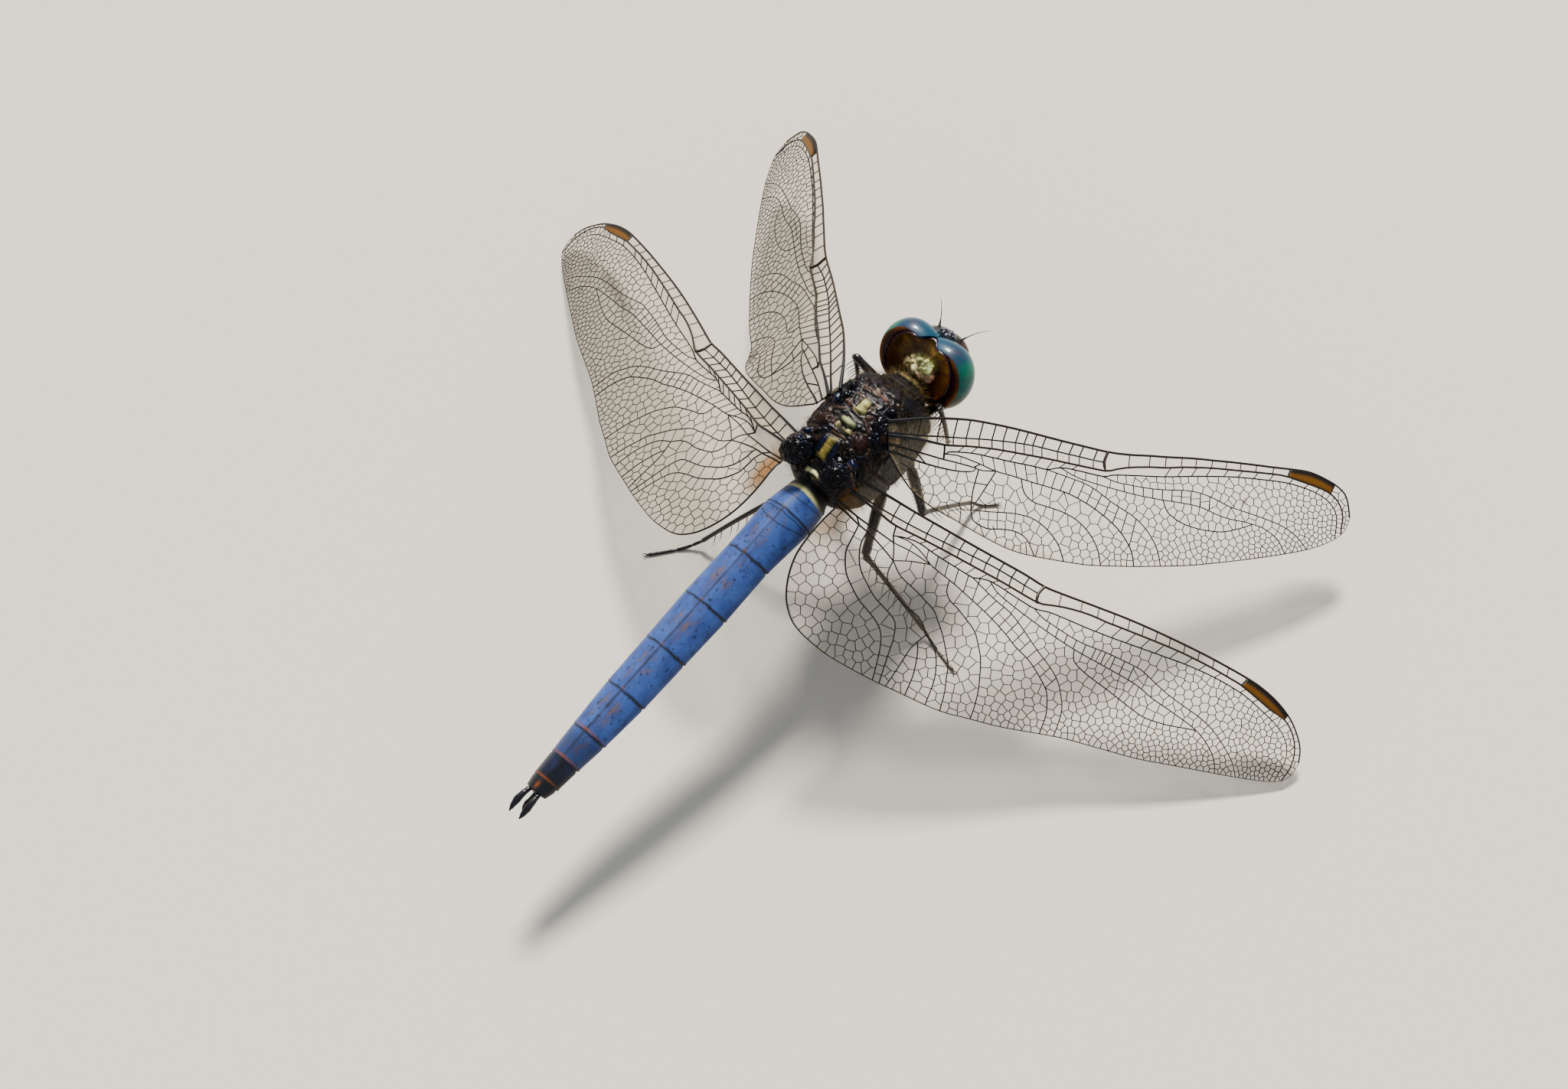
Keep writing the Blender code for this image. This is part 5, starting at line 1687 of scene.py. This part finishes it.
# Half thicknesses in millimetres, and how many spines stand in a row.
legLook = {
    "hip": {"fore": 0.5, "mid": 0.55, "hind": 0.6}, "thigh": {"fore": 0.36, "mid": 0.38, "hind": 0.4},
    "shin": 0.2, "foot": 0.115,
    "thighSpines": 9, "shinSpines": 8, "spine": 0.032, "black": linear("0D0C0C"), "brown": linear("2A1C14"),
    "seed": 5,
}
footTaper = ((0, 0.6), (0.15, 0.95), (0.8, 1.0), (0.95, 1.0), (1, 0.5))
legRandom = random.Random(legLook["seed"])
for name, spots in legJoints.items():
    hip, knee, ankle, claw = (place(*spot) for spot in spots)
    kind = name.split("_")[0]
    thigh, hipRadius = legLook["thigh"][kind] * mm, legLook["hip"][kind] * mm
    lines = []

    def stretch(a, b, stops, bow=0.0, lengthwise=14):
        # A limb piece from a to b, its radius read from the stops, with a slight bow upward.
        across = (b - a).cross(Vector((0, 0, 1))).normalized()
        upward = across.cross(b - a).normalized()
        points = [
            a.lerp(b, i / lengthwise) + upward * bow * mm * math.sin(math.pi * i / lengthwise)
            for i in range(lengthwise + 1)
        ]
        lines.append((points, [table(i / lengthwise, stops) for i in range(lengthwise + 1)]))
        return points

    along = (knee - hip).normalized()
    stretch(
        hip - along * 0.5 * mm + Vector((0, 0, 0.5)) * mm, hip + along * 0.55 * mm,
        ((0, hipRadius * 0.9), (0.5, hipRadius), (0.9, hipRadius * 0.8), (1, hipRadius * 0.45)),
    )
    stretch(
        hip + along * 0.45 * mm, hip + along * 1.3 * mm,
        ((0, hipRadius * 0.5), (0.3, hipRadius * 0.72), (0.85, hipRadius * 0.66), (1, hipRadius * 0.4)),
    )
    stretch(
        hip + along * 1.15 * mm, knee,
        (
            (0, thigh * 0.55), (0.12, thigh * 1.05), (0.4, thigh), (0.8, thigh * 0.78),
            (0.94, thigh * 0.85), (1, thigh * 0.6),
        ),
        0.12, 20,
    )
    shin = legLook["shin"] * mm
    stretch(
        knee, ankle,
        (
            (0, thigh * 0.62), (0.03, thigh * 0.7), (0.07, shin * 0.95), (0.14, shin * 0.85),
            (0.5, shin * 0.82), (0.9, shin * 0.72), (0.97, shin * 0.85), (1, shin * 0.5),
        ),
        0.1, 26,
    )
    foot = legLook["foot"] * mm
    onFloor = kind != "fore"
    toe = Vector(claw)
    if onFloor:
        toe.z = floorLevel + foot
    course = toe - ankle
    stations = (0, 0.16, 0.42, 0.86)
    middle = ankle.lerp(toe, 0.34)
    if onFloor:
        middle.z = floorLevel + foot
    path = smoothLine([ankle, middle, toe], 0.1 * mm)
    reach = len(path) - 1
    for first, last in zip(stations, stations[1:]):
        part = path[round(first * reach) : round(last * reach) + 1]
        radii = [foot * table(i / max(len(part) - 1, 1), footTaper) for i in range(len(part))]
        lines.append((part, radii))
    # Claws: two small hooks.
    forwardDirection = Vector((course.x, course.y, 0 if onFloor else course.z)).normalized()
    sideways = forwardDirection.cross(Vector((0, 0, 1))).normalized()
    heel = path[round(stations[-1] * reach)]
    for turn in (-1, 1):
        curl = Vector((0, 0, 0.05 if onFloor else -0.05)) * mm
        hook = [
            heel, heel + (forwardDirection * 0.2 + sideways * 0.1 * turn) * mm + curl,
            heel + (forwardDirection * 0.42 + sideways * 0.2 * turn) * mm,
        ]
        if onFloor:
            hook[2].z = floorLevel + 0.03 * mm
        bent = smoothLine(hook, 0.06 * mm)
        lines.append((bent, [0.055 * mm * (1 - 0.75 * i / 7) for i in range(len(bent))]))

    def spines(a, b, count, length, radius, angle, rowsOf):
        axis = (b - a).normalized()
        aside = axis.cross(Vector((0, 0, 1))).normalized()
        down = axis.cross(aside).normalized()
        for row in rowsOf:
            outward = aside * math.cos(row) + down * math.sin(row)
            for i in range(count):
                share = 0.14 + 0.8 * (i + legRandom.uniform(-0.2, 0.2)) / count
                root = a.lerp(b, share) + outward * radius * 0.6
                size = length * mm * (1.15 - 0.45 * share) * legRandom.uniform(0.85, 1.1)
                tip = root + (outward * math.sin(angle) + axis * math.cos(angle)) * size
                if tip.z < floorLevel + 0.05 * mm:
                    continue
                bend = root.lerp(tip, 0.5) + outward * size * 0.06
                lines.append(([root, bend, tip], [legLook["spine"] * part * mm for part in (1, 0.75, 0.2)]))

    spines(hip.lerp(knee, 0.3), knee, legLook["thighSpines"], 0.34, thigh, 0.95, (0.7, 2.4))
    spines(knee, ankle, legLook["shinSpines"], 1.0, shin, 0.75, (0.55, 2.6))
    obj = tubes(f"limb_{name}", lines, legMaterial, 2)
    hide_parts(*[f"leg_{name}_{piece}" for piece in ("femur", "tibia", "tarsus")])

    def legTint(vert):
        near = min((vert.co - hip).length, 2.5 * mm) / mm
        grain = noise.noise(vert.co / mm * 3)
        return withGloss(
            blendColour(
                legLook["black"], legLook["brown"], clamp(0.3 + grain * 0.6 + 0.5 * (1 - near / 2.5))
            ),
            0.25,
        )

    paint(obj, legTint)
print("legs built")


def hairs(name, skin, count, length, width, keep, lean, colours, seed):
    # Fine bristles rooted on a skin. Each has its own small patch on the skin's unwrap, at its root.
    rng = random.Random(seed)
    mesh = skin.data
    layer = mesh.uv_layers["OFBake"].data
    faces = [face for face in mesh.polygons if face.area > 0]
    weights = []
    total = 0
    for face in faces:
        total += face.area * max(keep(face.center, face.normal), 0)
        weights.append(total)
    lines, roots, shades = [], [], []
    for pick in sorted(rng.uniform(0, total) for _ in range(count)):
        low, high = 0, len(weights) - 1
        while low < high:
            half = (low + high) // 2
            if weights[half] < pick:
                low = half + 1
            else:
                high = half
        face = faces[low]
        corners = [mesh.vertices[i].co for i in face.vertices]
        parts = [rng.random() + 0.05 for _ in corners]
        whole = sum(parts)
        root = sum((co * part / whole for co, part in zip(corners, parts)), Vector())
        uv = sum((layer[i].uv / len(corners) for i in face.loop_indices), Vector((0, 0)))
        scatter = Vector([rng.gauss(0, 0.22) for _ in range(3)])
        way = (face.normal + lean(face.center) + scatter).normalized()
        size = rng.uniform(*length) * mm
        droop = Vector([rng.gauss(0, 0.16) for _ in range(3)]) + lean(face.center) * 0.35
        line = [root - face.normal * 0.02 * mm, root + way * size * 0.5, root + (way + droop * 0.5) * size]
        lines.append((line, [width * part * mm for part in (1, 0.8, 0.15)]))
        roots.append(uv)
        shades.append(rng.choice(colours))
    obj = tubes(name, lines, hairMaterial, 0)
    each = len(obj.data.vertices) // len(lines)
    patch = 0.003
    uvs = obj.data.uv_layers.new(name="OFBake")
    for loop in obj.data.loops:
        root = roots[min(loop.vertex_index // each, len(roots) - 1)]
        step = loop.vertex_index % each
        across, along = (step % 4) / 3, (step // 4) / max(each / 4 - 1, 1)
        uvs.data[loop.index].uv = (root.x + patch * across - patch / 2, root.y + patch * along - patch / 2)
    paint(obj, lambda vert: shades[min(vert.index // each, len(shades) - 1)])
    return obj


# Insect hair: stiff hollow bristles of chitin, pale gold against the light.
hairMaterial = paintedMaterial("Bristle", Roughness=0.45, Specular_IOR_Level=0.5)[0]
# Shades of hair: the pale ones of the front, the dark ones of the back, and the gold ones of the head.
hairLook = {
    "pale": linears("6E6044 57492F 9A8A5E 3E3528"), "dark": linears("14110F 2A241C 3E3528"),
    "gold": linears("9A7428 6E4E18 C09A4C"),
}
backward = Vector((0, 1, 0))
hairs(
    "hair_front", thorax, 1500, (0.2, 0.55), 0.005,
    lambda co, normal: smooth((bodySpot(co)[0] - 2.6) / 1.4) * smooth((normal.z + 0.5) * 2)
    * (1 - 0.7 * smooth((abs(bodySpot(co)[1]) - 1.2) / 0.6)),
    lambda co: Vector((0, -0.15, 0.15)), hairLook["pale"], 3,
)
hairs(
    "hair_side", thorax, 2600, (0.25, 0.6), 0.005,
    lambda co, normal: smooth((abs(normal.x) - 0.35) * 3) + 0.3 * smooth(-normal.z),
    lambda co: backward * 0.2, hairLook["pale"] + hairLook["dark"], 4,
)
hairs(
    "hair_back", thorax, 260, (0.15, 0.35), 0.005, lambda co, normal: smooth((normal.z - 0.3) * 3),
    lambda co: backward * 0.5, hairLook["dark"], 5,
)
hairs(
    "hair_collar", collar, 1500, (0.25, 0.65), 0.005,
    lambda co, normal: smooth((normal.z + 0.6) * 2) * (0.35 + 0.65 * smooth((bodySpot(co)[0] - 4.9) / 0.6)),
    lambda co: Vector((0, 0, 0.1)), hairLook["pale"] + hairLook["gold"][:1], 6,
)
hairs(
    "hair_nape", rear, 700, (0.18, 0.5), 0.005,
    lambda co, normal: smooth((normal.y - 0.1) * 3)
    * (1 - smooth((math.hypot(headSpot(co)[1], headSpot(co)[2]) - 0.6) / 0.7)),
    lambda co: Vector((0, 0.1, 0.35)), hairLook["pale"] + hairLook["gold"], 7,
)
hairs(
    "hair_neck", neck, 420, (0.12, 0.35), 0.004, lambda co, normal: smooth((normal.y + 0.2) * 2),
    lambda co: Vector((0, 0.1, 0.2)), hairLook["pale"] + hairLook["gold"], 9,
)
hairs(
    "hair_rim", rear, 500, (0.12, 0.3), 0.004, lambda co, normal: smooth((normal.y - 0.1) * 3),
    lambda co: Vector((0, 0.2, 0.2)), hairLook["gold"], 8,
)
print("hairs placed")


# Floor, light and camera. The key light is a warm sun 50 degrees up, and the room fills its shadows with
# a faint blue.
stageLook = {"floor": linear("D8D2C6"), "key": 5.2, "keyTurn": (40, 0, 37), "keyAngle": 12, "fill": 0.5}
# Matt paper under the feet: pale and without shine.
floorMaterial = newMaterial("Matt paper", Base_Color=stageLook["floor"], Roughness=0.9)[0]
floorMesh = bmesh.new()
bmesh.ops.create_grid(floorMesh, x_segments=1, y_segments=1, size=1.5)
floorData = bpy.data.meshes.new("floor")
floorMesh.to_mesh(floorData)
floorMesh.free()
floorData.materials.append(floorMaterial)
floor = bpy.data.objects.new("floor", floorData)
floor.location.z = floorLevel
bpy.context.scene.collection.objects.link(floor)

keyData = bpy.data.lights.new("sun", "SUN")
keyData.energy = stageLook["key"]
keyData.angle = math.radians(stageLook["keyAngle"])
keyData.color = (1, 0.96, 0.9)
key = bpy.data.objects.new("sun", keyData)
key.rotation_euler = [math.radians(value) for value in stageLook["keyTurn"]]
bpy.context.scene.collection.objects.link(key)

world = bpy.data.worlds.new("Soft room")
bpy.context.scene.world = world
world.use_nodes = True
world.node_tree.nodes["Background"].inputs["Color"].default_value = (0.86, 0.92, 1, 1)
world.node_tree.nodes["Background"].inputs["Strength"].default_value = stageLook["fill"]

# The camera looks down from behind, over the right wings, 155 mm off.
# Its turn is (round, down, roll) in degrees, and its place is (forward, left, up).
cameraLook = {
    "sensor": 36, "lens": 56.8517, "turn": (46.18, 59.46, -4.90), "place": (-62.11, -57.752, 130.01)
}
cameraData = bpy.data.cameras.new("camera")
cameraData.sensor_width = cameraLook["sensor"]
cameraData.lens = cameraLook["lens"]
cameraData.clip_start = 0.001
camera = bpy.data.objects.new("camera", cameraData)
azimuth, elevation, roll = (math.radians(value) for value in cameraLook["turn"])
away = Vector((math.cos(azimuth), math.sin(azimuth), 0))
aside = Vector((math.sin(azimuth), -math.cos(azimuth), 0))
looking = away * math.cos(elevation) - Vector((0, 0, math.sin(elevation)))
upward = away * math.sin(elevation) + Vector((0, 0, math.cos(elevation)))
right = aside * math.cos(roll) + upward * math.sin(roll)
upright = upward * math.cos(roll) - aside * math.sin(roll)
axes = [Vector((v.y, -v.x, v.z)) for v in (right, upright, -looking)]
turned = Matrix(axes).transposed().to_quaternion()
camera.matrix_world = Matrix.LocRotScale(place(*cameraLook["place"]), turned, None)
bpy.context.scene.collection.objects.link(camera)
bpy.context.scene.camera = camera
bpy.context.scene.view_settings.view_transform = "AgX"
bpy.context.scene.view_settings.look = "AgX - Medium High Contrast"
